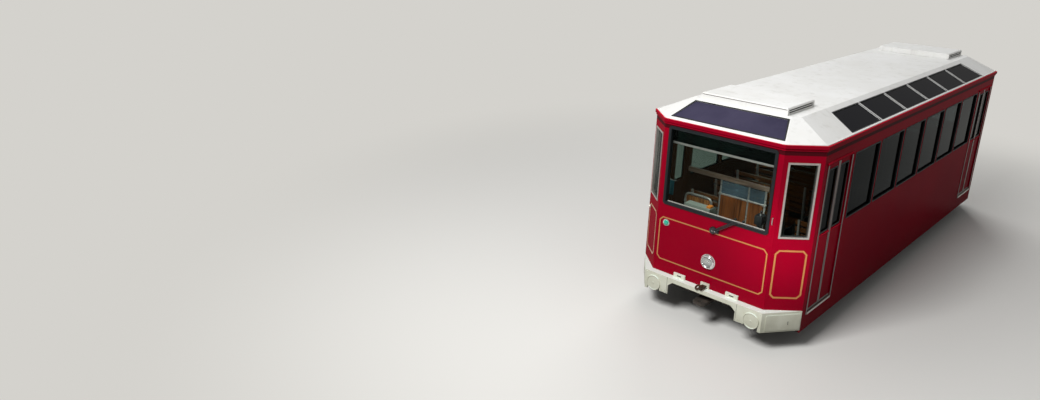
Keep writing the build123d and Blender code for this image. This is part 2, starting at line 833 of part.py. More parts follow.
# Door leaves, their panes and the thresholds
leaf_width = (door_width - 2 * moving_clearance - door_gap) / 2
leaf_bottom = door_bottom + threshold_height + moving_clearance
leaf_top = door_head - moving_clearance
leaf_height = leaf_top - leaf_bottom
leaf_outer = -door_recess
leaf_inner = leaf_outer - door_thickness
door_window_top = leaf_top - door_window_drop
door_window_middle = (window_sill + door_window_top) / 2
door_window_size = (leaf_width - 2 * door_window_inset, door_window_top - window_sill)
for side_name, side in SIDES.items():
    for end_name, end in ENDS.items():
        door_middle = end * door_middles[1]
        for leaf_name, shift in (("outer", end), ("inner", -end)):
            leaf_y = door_middle + shift * (door_gap + leaf_width) / 2
            hinge_y = door_middle + shift * (door_gap / 2 + leaf_width - hinge_tube_radius)
            with BuildPart() as leaf:
                with BuildSketch(side_plane(side, leaf_outer)):
                    with Locations((side * leaf_y, (leaf_bottom + leaf_top) / 2)):
                        Rectangle(leaf_width, leaf_height)
                    with Locations((side * leaf_y, door_window_middle)):
                        Rectangle(*door_window_size, mode=Mode.SUBTRACT)
                extrude(amount=-door_thickness)
                with BuildSketch(Plane.XY.offset(leaf_bottom - moving_clearance + running_clearance)):
                    with Locations((side * (half_width + leaf_inner), hinge_y)):
                        Circle(hinge_tube_radius)
                extrude(amount=leaf_height + 2 * moving_clearance - 2 * running_clearance)
            keep(leaf, f"door_{end_name}_{side_name}_{leaf_name}")
            with BuildPart() as leaf_pane:
                with BuildSketch(side_plane(side, (leaf_outer + leaf_inner) / 2)):
                    with Locations((side * leaf_y, door_window_middle)):
                        Rectangle(*door_window_size)
                extrude(amount=glass_thickness / 2, both=True)
            keep(leaf_pane, f"door_glass_{end_name}_{side_name}_{leaf_name}")

with BuildPart() as thresholds:
    for side in SIDES.values():
        with BuildSketch(side_plane(side, threshold_proud)):
            with Locations(*[(y, door_bottom + threshold_height / 2) for y in door_middles]):
                Rectangle(door_width, threshold_height)
        extrude(amount=-(threshold_proud + wall_thickness))
keep(thresholds, "door_thresholds")

# Benches in rows on both sides of the aisle, their backs to the downhill end
bench_outer = inner_half_width - wall_gap
aisle_left = aisle_offset - aisle_width / 2
aisle_right = aisle_offset + aisle_width / 2
bench_runs = [
    # left end and right end of the seats on one side of the aisle
    (-bench_outer, aisle_left),
    (aisle_right, bench_outer),
]
row_places = [-half_length + partition_start + bench_first + row * bench_pitch for row in range(bench_rows)]
seat_top = floor_top + bench_height
back_top = floor_top + bench_back_height
slat_width = (bench_depth - (slat_count - 1) * slat_gap) / slat_count
seat_frame_top = seat_top - slat_thickness
seat_rail_bottom = seat_frame_top - bench_rail
back_slat_pitch = (back_top - seat_top - back_slat_foot) / slat_count
back_lean_angle = degrees(atan2(bench_back_lean, back_top - seat_top))
back_foot = -bench_depth / 2 - slat_thickness
slat_middle = slat_thickness / 2 / cos(radians(back_lean_angle))

with BuildPart() as bench_slats:
    for left, right in bench_runs:
        for y in row_places:
            with BuildSketch(Plane(origin=(left, y, 0), x_dir=(0, 1, 0), z_dir=(1, 0, 0))):
                with Locations((0, seat_top - slat_thickness / 2)):
                    with GridLocations(slat_width + slat_gap, 0, slat_count, 1):
                        Rectangle(slat_width, slat_thickness)
                for row in range(slat_count):
                    rise = back_slat_foot + (row + 0.5) * back_slat_pitch
                    shift = bench_back_lean * rise / (back_top - seat_top)
                    with Locations((back_foot - shift + slat_middle, seat_top + rise)):
                        Rectangle(slat_thickness, back_slat_pitch - back_slat_gap, rotation=back_lean_angle)
            extrude(amount=right - left)
    for end in ENDS.values():
        barrier_y = end * (half_length - partition_start + barrier_gap)
        with BuildSketch(Plane(origin=(0, barrier_y, 0), x_dir=(1, 0, 0), z_dir=(0, -1, 0))):
            with Locations((barrier_width / 2 - bench_outer, (barrier_board_bottom + barrier_board_top) / 2)):
                Rectangle(
                    barrier_width - 2 * barrier_bar - 2 * running_clearance, barrier_board_top - barrier_board_bottom
                )
        extrude(amount=barrier_board / 2, both=True)
keep(bench_slats, "bench_slats")

with BuildPart() as bench_frames:
    for left, right in bench_runs:
        for y in row_places:
            for frame_x in (left + bench_frame_inset, right - bench_frame_inset):
                frame_plane = Plane(origin=(frame_x, y, 0), x_dir=(0, 1, 0), z_dir=(1, 0, 0))
                with BuildSketch(frame_plane):
                    Polygon(
                        (back_foot - bench_spine, floor_top),
                        (back_foot - bench_spine + bench_leg, floor_top),
                        (back_foot - bench_spine + bench_leg, seat_rail_bottom),
                        (bench_depth / 2 - bench_leg, seat_rail_bottom),
                        (bench_depth / 2 - bench_leg, floor_top),
                        (bench_depth / 2, floor_top),
                        (bench_depth / 2, seat_frame_top),
                        (back_foot, seat_frame_top),
                        (back_foot, seat_top),
                        (back_foot - bench_back_lean, back_top),
                        (back_foot - bench_back_lean - bench_spine, back_top),
                        align=None,
                    )
                extrude(amount=bench_frame_thickness / 2, both=True)
    for end in ENDS.values():
        barrier_y = end * (half_length - partition_start + barrier_gap)
        with BuildSketch(Plane(origin=(0, barrier_y, 0), x_dir=(1, 0, 0), z_dir=(0, -1, 0))):
            with Locations((barrier_width / 2 - bench_outer, barrier_top / 2)):
                RectangleRounded(barrier_width, barrier_top, barrier_radius)
            with Locations((barrier_width / 2 - bench_outer, (barrier_top - barrier_bar) / 2)):
                Rectangle(barrier_width - 2 * barrier_bar, barrier_top - barrier_bar, mode=Mode.SUBTRACT)
            with Locations((barrier_width / 2 - bench_outer, (floor_top - barrier_top) / 2)):
                Rectangle(2 * barrier_width, floor_top + barrier_top, mode=Mode.SUBTRACT)
        extrude(amount=barrier_bar / 2, both=True)
keep(bench_frames, "bench_frames")

# Partitions behind the vestibules: boards between steel posts, with glass over them and a beam on top
panel_top = floor_top + partition_height
post_places = (-panel_start, -panel_joint, aisle_left - post_radius)
fields = [
    # left edge and right edge of what fills the space between two posts
    (near + post_radius + running_clearance, far - post_radius - running_clearance)
    for near, far in zip(post_places, post_places[1:])
]
partition_planes = [
    Plane(origin=(0, end * (half_length - partition_start), 0), x_dir=(1, 0, 0), z_dir=(0, -1, 0))
    for end in ENDS.values()
]
header_right = post_places[-1] + header_overhang
with BuildPart() as partitions:
    for plane in partition_planes:
        with BuildSketch(plane):
            for left, right in fields:
                with Locations(((left + right) / 2, (floor_top + panel_top) / 2)):
                    Rectangle(right - left, partition_height)
        extrude(amount=partition_thickness / 2, both=True)
        with BuildSketch(plane):
            with Locations(((header_right - inner_half_width) / 2, header_bottom + header_height / 2)):
                Rectangle(header_right + inner_half_width, header_height)
        extrude(amount=header_thickness / 2, both=True)
keep(partitions, "cab_partitions")

pane_bottom = panel_top + 2 * rail_radius
with BuildPart() as partition_glass:
    for plane in partition_planes:
        with BuildSketch(plane):
            for left, right in fields:
                with Locations(((left + right) / 2, (pane_bottom + header_bottom) / 2)):
                    Rectangle(right - left, header_bottom - pane_bottom)
        extrude(amount=partition_pane / 2, both=True)
keep(partition_glass, "partition_glass")

# Handrails: the posts, and a rail along the top of the boards
with BuildPart() as handrails:
    for plane in partition_planes:
        with BuildSketch(Plane.XY.offset(floor_top)):
            with Locations(*[(x, plane.origin.Y) for x in post_places]):
                Circle(post_radius)
        extrude(amount=header_bottom - floor_top)
        rail_plane = Plane(
            origin=(post_places[0], plane.origin.Y, panel_top + rail_radius), x_dir=(0, 1, 0), z_dir=(1, 0, 0)
        )
        with BuildSketch(rail_plane):
            Circle(rail_radius)
        extrude(amount=post_places[-1] - post_places[0])
keep(handrails, "handrails")

# Driver's desks under the windscreens, each with a console that slopes towards the driver
console_foot = floor_top + desk_height
with BuildPart() as desks:
    for end in ENDS.values():
        desk_front = half_length - wall_thickness
        with BuildSketch(Plane.XY.offset(floor_top)):
            with Locations((0, end * (desk_front - desk_depth / 2))):
                Rectangle(desk_width, desk_depth)
        extrude(amount=desk_height)
        with BuildSketch(Plane.XY.offset(floor_top)):
            with Locations((0, end * (desk_front - desk_depth / 2))):
                Rectangle(desk_width - 2 * desk_wall, desk_depth - 2 * desk_wall)
        extrude(amount=desk_height - desk_wall, mode=Mode.SUBTRACT)
        near = desk_front - desk_depth
        far = near + console_depth
        start = end * console_start if end < 0 else console_start - console_width
        with BuildSketch(Plane(origin=(start, 0, 0), x_dir=(0, 1, 0), z_dir=(1, 0, 0))):
            Polygon(
                (end * near, console_foot - desk_wall),
                (end * far, console_foot - desk_wall),
                (end * far, console_foot + console_height),
                (end * (near + console_slope), console_foot + console_height),
                (end * near, console_foot + console_height - console_slope),
                align=None,
            )
        extrude(amount=console_width)
keep(desks, "driver_desks")
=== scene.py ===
"""Looks of a funicular railway car: finishes, glazing, door trim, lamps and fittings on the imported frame.

Metres. X is the car's width, Y its length with the downhill end at -Y, Z up from the flange bottoms.
"""
import json
from functools import cache
from itertools import product
from math import atan2, cos, pi, radians, sin, sqrt

import bmesh
import bpy
from bpy.props import FloatProperty, FloatVectorProperty, IntProperty, PointerProperty
from bpy.types import Operator, Panel, PropertyGroup
from mathutils import Matrix, Vector


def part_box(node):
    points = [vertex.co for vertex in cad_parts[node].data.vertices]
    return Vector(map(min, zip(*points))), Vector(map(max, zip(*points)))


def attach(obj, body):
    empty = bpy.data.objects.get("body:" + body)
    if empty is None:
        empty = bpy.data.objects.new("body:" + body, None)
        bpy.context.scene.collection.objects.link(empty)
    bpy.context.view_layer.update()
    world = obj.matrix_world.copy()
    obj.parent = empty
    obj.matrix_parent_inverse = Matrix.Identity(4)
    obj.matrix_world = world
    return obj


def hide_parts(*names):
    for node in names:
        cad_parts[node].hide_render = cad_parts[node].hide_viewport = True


bl_info = {
    "name": "Funicular Car Finish",
    "version": (1, 0, 0),
    "blender": (4, 5, 0),
    "location": "3D View > Sidebar > Funicular",
    "description": "Dresses the frame of a funicular car with its finishes, trim and fittings",
    "category": "Add Mesh",
}

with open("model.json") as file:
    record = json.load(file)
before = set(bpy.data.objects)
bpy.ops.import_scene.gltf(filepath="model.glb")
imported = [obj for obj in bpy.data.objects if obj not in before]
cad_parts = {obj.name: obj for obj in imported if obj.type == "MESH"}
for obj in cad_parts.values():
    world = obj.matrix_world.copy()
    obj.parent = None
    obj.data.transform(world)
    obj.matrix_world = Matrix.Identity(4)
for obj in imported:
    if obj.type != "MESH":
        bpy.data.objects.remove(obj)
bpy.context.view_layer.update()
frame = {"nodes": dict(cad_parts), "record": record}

ENDS = {"front": -1, "rear": 1}
SIDES = {"left": -1, "right": 1}
LEAVES = {"outer": 1, "inner": -1}

# Outer sizes of the body, read from its panels
HALF_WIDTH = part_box("side_wall_right")[1].x
SIDE_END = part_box("side_wall_right")[1].y
WALL_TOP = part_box("side_wall_right")[1].z
HALF_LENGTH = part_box("rear_end")[1].y
HALF_NOSE = 0.900
FLOOR_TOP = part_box("floor_plate")[1].z
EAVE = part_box("roof_shell")[0].z
ROOF_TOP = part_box("roof_shell")[1].z
CHAMFER_TURN = atan2(HALF_LENGTH - SIDE_END, HALF_WIDTH - HALF_NOSE)
LIFT = 0.0003  # gap between trim and the surface that carries it


def linear(given):
    """Linear RGBA of an sRGB hex colour; a colour that is linear already stays as it is."""
    if not isinstance(given, str):
        return given
    channels = [int(given[place : place + 2], 16) / 255 for place in (0, 2, 4)]
    return (*[c / 12.92 if c <= 0.04045 else ((c + 0.055) / 1.055) ** 2.4 for c in channels], 1.0)


def length(name, description, default):
    """A length that a user may change."""
    return FloatProperty(name=name, description=description, default=default, min=0.0, unit="LENGTH")


def colour(name, description, given):
    """A colour that a user may change."""
    limits = {"size": 4, "min": 0.0, "max": 1.0, "subtype": "COLOR"}
    return FloatVectorProperty(name=name, description=description, default=linear(given), **limits)


class CarColours(PropertyGroup):
    """Colours of the car's finishes."""

    body: colour("Body", "Burgundy coach enamel", "96001E")
    roof: colour("Roof", "White roof enamel", "F2F2F0")
    skirt: colour("Skirt", "Cream skirt enamel", "E0E1D0")
    chassis: colour("Chassis", "Black chassis paint under dust", "2A2927")
    line: colour("Coach lines", "Gold line enamel", "BC7C44")
    teak: colour("Bench wood", "Varnished teak", "74441F")
    metal: colour("Metal trim", "Brushed aluminium", "C9C3BE")
    pane: colour("Window glass", "What the film of the windscreens lets through", "D2DEDA")
    # Painted shade: the darkening of the side windows for an eye outside
    side_pane: colour("Side glass", "What the film of the side windows lets through", "222C2D")
    # Partly the glass's own tint and partly a painted reflection of the sky
    roof_pane: colour("Roof glass", "Tint of the roof lights", "3A374C")
    lamp: colour("Marker lamp", "Green lens", "22B898")
    floor: colour("Studio floor", "Pale floor under the car", "E6E5E1")
    backdrop: colour("Studio backdrop", "What the floor fades into", "D4D2CD")


class CarSizes(PropertyGroup):
    """Sizes of the trim that the frame doesn't hold."""

    line_width: length("Line width", "Width of the coach lines", 0.018)
    line_cut: length("Line cut", "Cut of a line's corner, along each side", 0.055)
    gasket_width: length("Gasket width", "Width of the rubber round a side window", 0.016)
    stile_width: length("Stile width", "Width of the metal strip down a door leaf's free edge", 0.024)
    jamb_width: length("Jamb width", "Width of the metal post beside a doorway", 0.028)
    drip_reach: length("Drip reach", "How far the moulding over a doorway stands out", 0.020)
    light_frame: length("Light frame", "Width of the frame round a roof light", 0.016)
    disc_rim: length("Disc rim", "Radius of the bead round a skirt disc", 0.008)
    bolt_radius: length("Bolt radius", "Radius of a round bolt head", 0.009)
    lamp_segments: IntProperty(name="Lamp segments", description="Facets round a lamp", default=48, min=12)


def sizes():
    """The scene's trim sizes."""
    return bpy.context.scene.car_sizes


def colours():
    """The scene's colours."""
    return bpy.context.scene.car_colours


# Placing: each matrix has X across a surface, Y up it and Z out of it
def panel(origin, out):
    """A placing matrix at a point of a surface that looks along out."""
    outward = Vector(out).normalized()
    across = Vector((0, 0, 1)).cross(outward)
    across = across.normalized() if across.length > 0.01 else Vector((1, 0, 0))
    matrix = Matrix((across, outward.cross(across), outward)).transposed().to_4x4()
    matrix.translation = origin
    return matrix


def nose(end):
    """The flat nose; Y is the height."""
    return panel((0, end * HALF_LENGTH, 0), (0, end, 0))


def flank(side):
    """A side wall; X is side times the car's Y, and Y the height."""
    return panel((side * HALF_WIDTH, 0, 0), (side, 0, 0))


def chamfer(side, end):
    """A chamfered corner, from its middle."""
    middle = (side * (HALF_NOSE + HALF_WIDTH) / 2, end * (HALF_LENGTH + SIDE_END) / 2, 0)
    return panel(middle, (side * sin(CHAMFER_TURN), end * cos(CHAMFER_TURN), 0))


def shift(place, x, y, z=0.0):
    """The same surface, measured from another point."""
    return place @ Matrix.Translation((x, y, z))


# Outlines, as lists of (x, y), and bounds, as (x0, x1, y0, y1)
def about(x, y, half_width, half_height):
    """The bounds of a rectangle round a middle."""
    return x - half_width, x + half_width, y - half_height, y + half_height


def grown(bounds, by):
    """Bounds moved outward on all four sides."""
    x0, x1, y0, y1 = bounds
    return x0 - by, x1 + by, y0 - by, y1 + by


def cut_rectangle(x0, x1, y0, y1, cut):
    """A rectangle with its corners cut at 45 degrees."""
    return [
        (x0 + cut, y0), (x1 - cut, y0), (x1, y0 + cut), (x1, y1 - cut),
        (x1 - cut, y1), (x0 + cut, y1), (x0, y1 - cut), (x0, y0 + cut),
    ]


def rounded_rectangle(x0, x1, y0, y1, radius, steps=5):
    """A rectangle with round corners."""
    left, right, foot, top = grown((x0, x1, y0, y1), -radius)
    return [
        (x + radius * cos(turn), y + radius * sin(turn))
        for quarter, (x, y) in enumerate([(right, top), (left, top), (left, foot), (right, foot)])
        for turn in [pi / 2 * (quarter + step / steps) for step in range(steps + 1)]
    ]


def around(count, radius=1.0, start=0.0):
    """Points evenly spaced round a circle."""
    turns = [2 * pi * (number + start) / count for number in range(count)]
    return [(radius * cos(turn), radius * sin(turn)) for turn in turns]


def dome(radius, foot, rise, steps):
    """The profile of a dome, from its edge at the foot height to its middle."""
    turns = [pi / 2 * step / steps for step in range(steps + 1)]
    return [(radius * cos(turn), foot + rise * sin(turn)) for turn in turns]


# Shapes, each added to a mesh in the making
HERE = Matrix.Identity(4)  # the car's own frame


def meshes(count):
    """New meshes in the making."""
    return [bmesh.new() for _ in range(count)]


def loft(mesh, place, sections, caps=True):
    """Join like-numbered outlines of (x, y, z) in turn, and close the first and the last."""
    rings = [[mesh.verts.new(place @ Vector(point)) for point in section] for section in sections]
    count = len(rings[0])
    for near, far in zip(rings, rings[1:]):
        for i in range(count):
            mesh.faces.new((near[i], near[(i + 1) % count], far[(i + 1) % count], far[i]))
    if caps:
        mesh.faces.new(list(reversed(rings[0])))
        mesh.faces.new(rings[-1])


def slab(mesh, place, outline, low, high):
    """A flat piece of the given outline between two heights over the surface."""
    loft(mesh, place, [[(x, y, z) for x, y in outline] for z in (low, high)])


def block(mesh, place, x0, x1, y0, y1, low, high):
    """A rectangular bar, square to its surface."""
    slab(mesh, place, [(x0, y0), (x1, y0), (x1, y1), (x0, y1)], low, high)


def rail(mesh, place, section, x0, x1):
    """A bar across the surface, whose section has points of (height over the surface, y)."""
    loft(mesh, place, [[(x, y, z) for z, y in section] for x in (x0, x1)])


def ring(mesh, place, outer, inner, low, high):
    """A flat frame between two like-numbered outlines."""
    stations = [(outer, low), (outer, high), (inner, high), (inner, low), (outer, low)]
    loft(mesh, place, [[(x, y, z) for x, y in outline] for outline, z in stations], caps=False)


def lathe(mesh, place, profile, count=32):
    """Turn a profile of (radius, height) about the surface's normal."""
    loft(mesh, place, [[(x, y, z) for x, y in around(count, radius)] for radius, z in profile], caps=False)


def stud(mesh, place, foot, top, radius, crown=None, shoulder=None, count=6):
    """A head between two heights, its edge cut from the shoulder to the crown's radius."""
    edge = [(radius, top)] if crown is None else [(radius, shoulder), (crown, top)]
    lathe(mesh, place, [(0, foot), (radius, foot), *edge, (0, top)], count)


def ball(mesh, spot, radius):
    """A round knob about a point of the car."""
    turns = [pi * step / 8 for step in range(9)]
    lathe(mesh, Matrix.Translation(spot), [(radius * sin(turn), -radius * cos(turn)) for turn in turns], 20)


def tube(mesh, place, points, radius, count=10, closed=False):
    """A round bar along points measured from a place."""
    path = [place @ Vector(point) for point in points]
    last = len(path) - 1
    side = None
    rings = []
    for i, point in enumerate(path):
        before = path[i - 1] if i or closed else point
        after = path[(i + 1) % len(path)] if i < last or closed else point
        along = (after - before).normalized()
        side = side or along.orthogonal()
        side = (side - along * side.dot(along)).normalized()
        other = along.cross(side)
        rings.append([point + (side * x + other * y) * radius for x, y in around(count)])
    if closed:
        rings.append(rings[0])
    loft(mesh, HERE, rings, caps=not closed)


def bend(points, radius, steps=5):
    """A path with its inner corners rounded."""
    path = [Vector(point) for point in points]
    smooth = [path[0]]
    for before, corner, after in zip(path, path[1:], path[2:]):
        near, far = (before - corner).normalized(), (after - corner).normalized()
        reach = min(radius, (before - corner).length / 2, (after - corner).length / 2)
        start, stop = corner + near * reach, corner + far * reach
        for t in [step / steps for step in range(steps + 1)]:
            smooth.append(start.lerp(corner, t).lerp(corner.lerp(stop, t), t))
    return smooth + [path[-1]]


def piece(name, mesh, finish, body="car_body", replaces=(), bevel=0.0, sharp=35):
    """Turn a mesh in the making into a piece of the car that rides on a body."""
    bmesh.ops.remove_doubles(mesh, verts=mesh.verts, dist=1e-6)
    bmesh.ops.recalc_face_normals(mesh, faces=mesh.faces)
    data = bpy.data.meshes.new(name)
    mesh.to_mesh(data)
    mesh.free()
    for polygon in data.polygons:
        polygon.use_smooth = True
    data.set_sharp_from_angle(angle=radians(sharp))
    data.materials.append(finish)
    made = bpy.data.objects.new(name, data)
    bpy.context.scene.collection.objects.link(made)
    if bevel:
        rounding = made.modifiers.new("edge_rounding", "BEVEL")
        rounding.width = bevel
        rounding.segments = 2
        rounding.limit_method = "ANGLE"
        rounding.harden_normals = True
    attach(made, body)
    if replaces:
        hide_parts(*replaces)


# Finishes
MIX_A, MIX_B, MIX_RESULT = 6, 7, 2  # the colour sockets of a Mix node
FROM, TO = 2, 3  # its number sockets


def add_node(tree, kind, values=None, feeds=None, **settings):
    """Add a shader node with its settings, its input values and the outputs or nodes that feed it."""
    node = tree.nodes.new("ShaderNode" + kind)
    for setting, value in settings.items():
        setattr(node, setting, value)
    for socket, value in (values or {}).items():
        node.inputs[socket].default_value = value
    feed(node, feeds or {})
    return node


def feed(node, feeds):
    """Link an output, or a node's first output, to each of a node's named inputs."""
    for socket, source in feeds.items():
        output = source if isinstance(source, bpy.types.NodeSocket) else source.outputs[0]
        node.id_data.links.new(output, node.inputs[socket])


def per(millimetres):
    """Texture scale of a pattern whose features are this large."""
    return 1000 / millimetres


def start_finish(name, base, spot, drift, patch, rough, grain, depth, sockets=None):
    """A material whose colour drifts towards spot in patches, with patchy gloss and a fine grain.

    patch, grain and depth are in millimetres and rough is the least and most roughness.
    """
    made = bpy.data.materials.new(name)
    made.use_nodes = True
    made.diffuse_color = linear(base)
    tree = made.node_tree
    shader = tree.nodes["Principled BSDF"]
    for socket, value in (sockets or {}).items():
        shader.inputs[socket].default_value = value
    place = add_node(tree, "TexCoord").outputs["Object"]
    patches = {"Scale": per(patch), "Detail": 5.0, "Roughness": 0.6}
    cloud = add_node(tree, "TexNoise", patches, {"Vector": place})
    share = add_node(tree, "MapRange", {"From Min": 0.35, "From Max": 0.7, "To Max": drift}, {"Value": cloud})
    ends = {MIX_A: linear(base), MIX_B: linear(spot)}
    tint = add_node(tree, "Mix", ends, {"Factor": share}, data_type="RGBA")
    span = {"From Min": 0.3, "From Max": 0.7, "To Min": rough[0], "To Max": rough[1]}
    gloss = add_node(tree, "MapRange", span, {"Value": cloud})
    feed(shader, {"Base Color": tint.outputs[MIX_RESULT], "Roughness": gloss})
    grains = add_node(tree, "TexNoise", {"Scale": per(grain), "Detail": 2.0}, {"Vector": place})
    return add_relief(made, grains, depth)


def add_relief(material, pattern, depth):
    """Add a height pattern, depth millimetres deep, over the bump that a finish has."""
    tree = material.node_tree
    shader = tree.nodes["Principled BSDF"]
    feeds = {"Height": pattern}
    if shader.inputs["Normal"].links:
        feeds["Normal"] = shader.inputs["Normal"].links[0].from_socket
    feed(shader, {"Normal": add_node(tree, "Bump", {"Strength": 1.0, "Distance": depth / 1000}, feeds)})
    return material


def layer_colour(material, over, factor, gloss=None):
    """Lay a colour over the base by a factor, and make it as rough as gloss says."""
    tree = material.node_tree
    shader = tree.nodes["Principled BSDF"]
    under = shader.inputs["Base Color"].links[0].from_socket
    tint = add_node(tree, "Mix", {MIX_B: linear(over)}, {MIX_A: under, "Factor": factor}, data_type="RGBA")
    feed(shader, {"Base Color": tint.outputs[MIX_RESULT]})
    if gloss is not None:
        smooth = shader.inputs["Roughness"].links[0].from_socket
        feed(shader, {"Roughness": add_node(tree, "Mix", {TO: gloss}, {FROM: smooth, "Factor": factor})})
    return material


def coordinate(tree, axis):
    """The object's own coordinate along an axis."""
    place = add_node(tree, "TexCoord").outputs["Object"]
    return add_node(tree, "SeparateXYZ", feeds={0: place}).outputs[axis]


def upward(tree, least):
    """One where the surface looks up more than least, else nothing: the mask of the painted highlights on
    upward faces.
    """
    facing = add_node(tree, "SeparateXYZ", feeds={0: add_node(tree, "NewGeometry").outputs["Normal"]})
    return add_node(tree, "Math", {1: least}, {0: facing.outputs["Z"]}, operation="GREATER_THAN")


def streaks(tree, stretch, detail, distortion, start, stop, amount):
    """Noise stretched along an axis, from nothing at start to amount at stop."""
    place = add_node(tree, "TexCoord").outputs["Object"]
    along = add_node(tree, "Mapping", {"Scale": stretch}, {"Vector": place})
    noise = {"Scale": 1.0, "Detail": detail, "Distortion": distortion}
    grain = add_node(tree, "TexNoise", noise, {"Vector": along})
    span = {"From Min": start, "From Max": stop, "To Max": amount}
    return add_node(tree, "MapRange", span, {"Value": grain})


def dust_towards(material, dust, clean_height, foul_height, amount):
    """Road dust that thickens from a clean height to a foul one, broken into patches."""
    tree = material.node_tree
    span = {"From Min": clean_height, "From Max": foul_height, "To Max": amount}
    height = {"Value": coordinate(tree, "Z")}
    fall = add_node(tree, "MapRange", span, height, interpolation_type="SMOOTHSTEP")
    place = add_node(tree, "TexCoord").outputs["Object"]
    patches = {"Scale": per(180), "Detail": 6.0, "Roughness": 0.7}
    clump = add_node(tree, "TexNoise", patches, {"Vector": place})
    broken = add_node(tree, "Math", feeds={0: fall, 1: clump}, operation="MULTIPLY")
    return layer_colour(material, dust, broken, gloss=0.85)


def line_inside(material, lining):
    """A lining on all of the shell that lies deeper than its outer skin."""
    tree = material.node_tree
    place = add_node(tree, "TexCoord").outputs["Object"]
    size = add_node(tree, "VectorMath", feeds={0: place}, operation="ABSOLUTE")
    corner = Vector((sin(CHAMFER_TURN), cos(CHAMFER_TURN), 0))
    skins = [
        # outward direction and reach of the walls, the noses and the corners
        ((1, 0, 0), HALF_WIDTH), ((0, 1, 0), HALF_LENGTH), (corner, corner.dot((HALF_WIDTH, SIDE_END, 0))),
    ]
    deep = []
    for out, reach in skins:
        along = add_node(tree, "VectorMath", {1: out}, {0: size}, operation="DOT_PRODUCT").outputs["Value"]
        deep.append(add_node(tree, "Math", {1: reach - 0.014}, {0: along}, operation="LESS_THAN"))
    both = add_node(tree, "Math", feeds={0: deep[0], 1: deep[1]}, operation="MULTIPLY")
    share = add_node(tree, "Math", feeds={0: both, 1: deep[2]}, operation="MULTIPLY")
    return layer_colour(material, lining, share, gloss=0.5)


def painted_shade_band(material, paint, foot, top):
    """A band of painted shade between two heights."""
    tree = material.node_tree
    height = coordinate(tree, "Z")
    above = add_node(tree, "Math", {1: foot}, {0: height}, operation="GREATER_THAN")
    below = add_node(tree, "Math", {1: top}, {0: height}, operation="LESS_THAN")
    both = add_node(tree, "Math", feeds={0: above, 1: below}, operation="MULTIPLY")
    return layer_colour(material, paint, both)


@cache
def coach_enamel():
    """Burgundy coach enamel, brushed and varnished: deep colour, wet gloss, faint waves in the panels, a
    painted highlight on upward faces and painted shade under the cornice.
    """
    made = start_finish(
        "coach_enamel", colours().body, "84001E", 0.6, 1400, (0.3, 0.4), 14, 0.02,
        {"Coat Weight": 0.08, "Coat Roughness": 0.06, "Specular IOR Level": 0.0},
    )
    tree = made.node_tree
    place = add_node(tree, "TexCoord").outputs["Object"]
    add_relief(made, add_node(tree, "TexNoise", {"Scale": per(420), "Detail": 1.0}, {"Vector": place}), 2.2)
    dust_towards(made, "4A2A20", 0.8, 0.2, 0.35)
    # Painted highlight: faces that look up, such as drips, sills and the cornice's top, in a brighter red as
    # if lit from above
    layer_colour(made, "D01834", upward(tree, 0.5))
    # Painted shade: a dark band just under the cornice, where its overhang shades the walls
    painted_shade_band(made, "4A0A14", WALL_TOP - 0.062, WALL_TOP)
    return line_inside(made, "3A2415")


@cache
def roof_enamel():
    """White roof enamel, sprayed: satin, with faint grey rain streaks down the slopes."""
    made = start_finish(
        "roof_enamel", colours().roof, "E2E1DC", 0.6, 900, (0.5, 0.65), 9, 0.03, {"Specular IOR Level": 0.25}
    )
    faint = streaks(made.node_tree, (9.0, 9.0, 0.8), 4.0, 0.0, 0.55, 0.85, 0.4)
    return layer_colour(made, "B9B6AC", faint)


@cache
def skirt_enamel():
    """Cream enamel on steel plate: half gloss, grey-green grime in patches, and a painted highlight that
    makes the upward ledge whiter.
    """
    made = start_finish(
        "skirt_enamel", colours().skirt, "BEBEA8", 0.6, 260, (0.38, 0.6), 6, 0.05, {"Coat Weight": 0.1}
    )
    dust_towards(made, "76725F", 0.6, 0.25, 0.5)
    # Painted highlight: faces that look up, the ledge above all, made whiter as if lit from above
    return layer_colour(made, "EEFAF2", upward(made.node_tree, 0.7))


@cache
def worn_bracket():
    """Cream enamel, worn to rusty iron on the tongue that takes the shackle."""
    made = start_finish("worn_bracket_enamel", colours().skirt, "AEAE98", 0.7, 120, (0.4, 0.6), 6, 0.08)
    tree = made.node_tree
    reach = add_node(tree, "Math", feeds={0: coordinate(tree, "Y")}, operation="ABSOLUTE")
    tongue = add_node(tree, "Math", {1: HALF_LENGTH + 0.028}, {0: reach}, operation="GREATER_THAN")
    return layer_colour(made, "3A281C", tongue, gloss=0.75)


@cache
def chassis_paint():
    """Black chassis paint under brake dust: flat, brown-grey, rough as cast iron."""
    made = start_finish("chassis_paint", colours().chassis, "4A4038", 0.8, 140, (0.55, 0.8), 5, 0.15)
    return dust_towards(made, "6B5A48", 0.6, 0.1, 0.5)


@cache
def wheel_steel():
    """Rolled wheel steel: dark mill scale with a thin film of rust."""
    metal = {"Metallic": 0.85}
    return start_finish("rolled_steel", "6F6A66", "5A3B28", 0.55, 60, (0.4, 0.65), 3, 0.06, metal)


@cache
def polished_steel():
    """Steel worn bright by the rail or by hands: clean, with a fine grain."""
    metal = {"Metallic": 1.0}
    return start_finish("polished_steel", "C6C6C4", "A3A29E", 0.5, 35, (0.16, 0.3), 2, 0.01, metal)


@cache
def brushed_aluminium():
    """Brushed aluminium: pale, slightly warm, soft patchy highlights."""
    metal = {"Metallic": 0.9}
    return start_finish("brushed_aluminium", colours().metal, "A39E9A", 0.6, 45, (0.28, 0.42), 2, 0.02, metal)


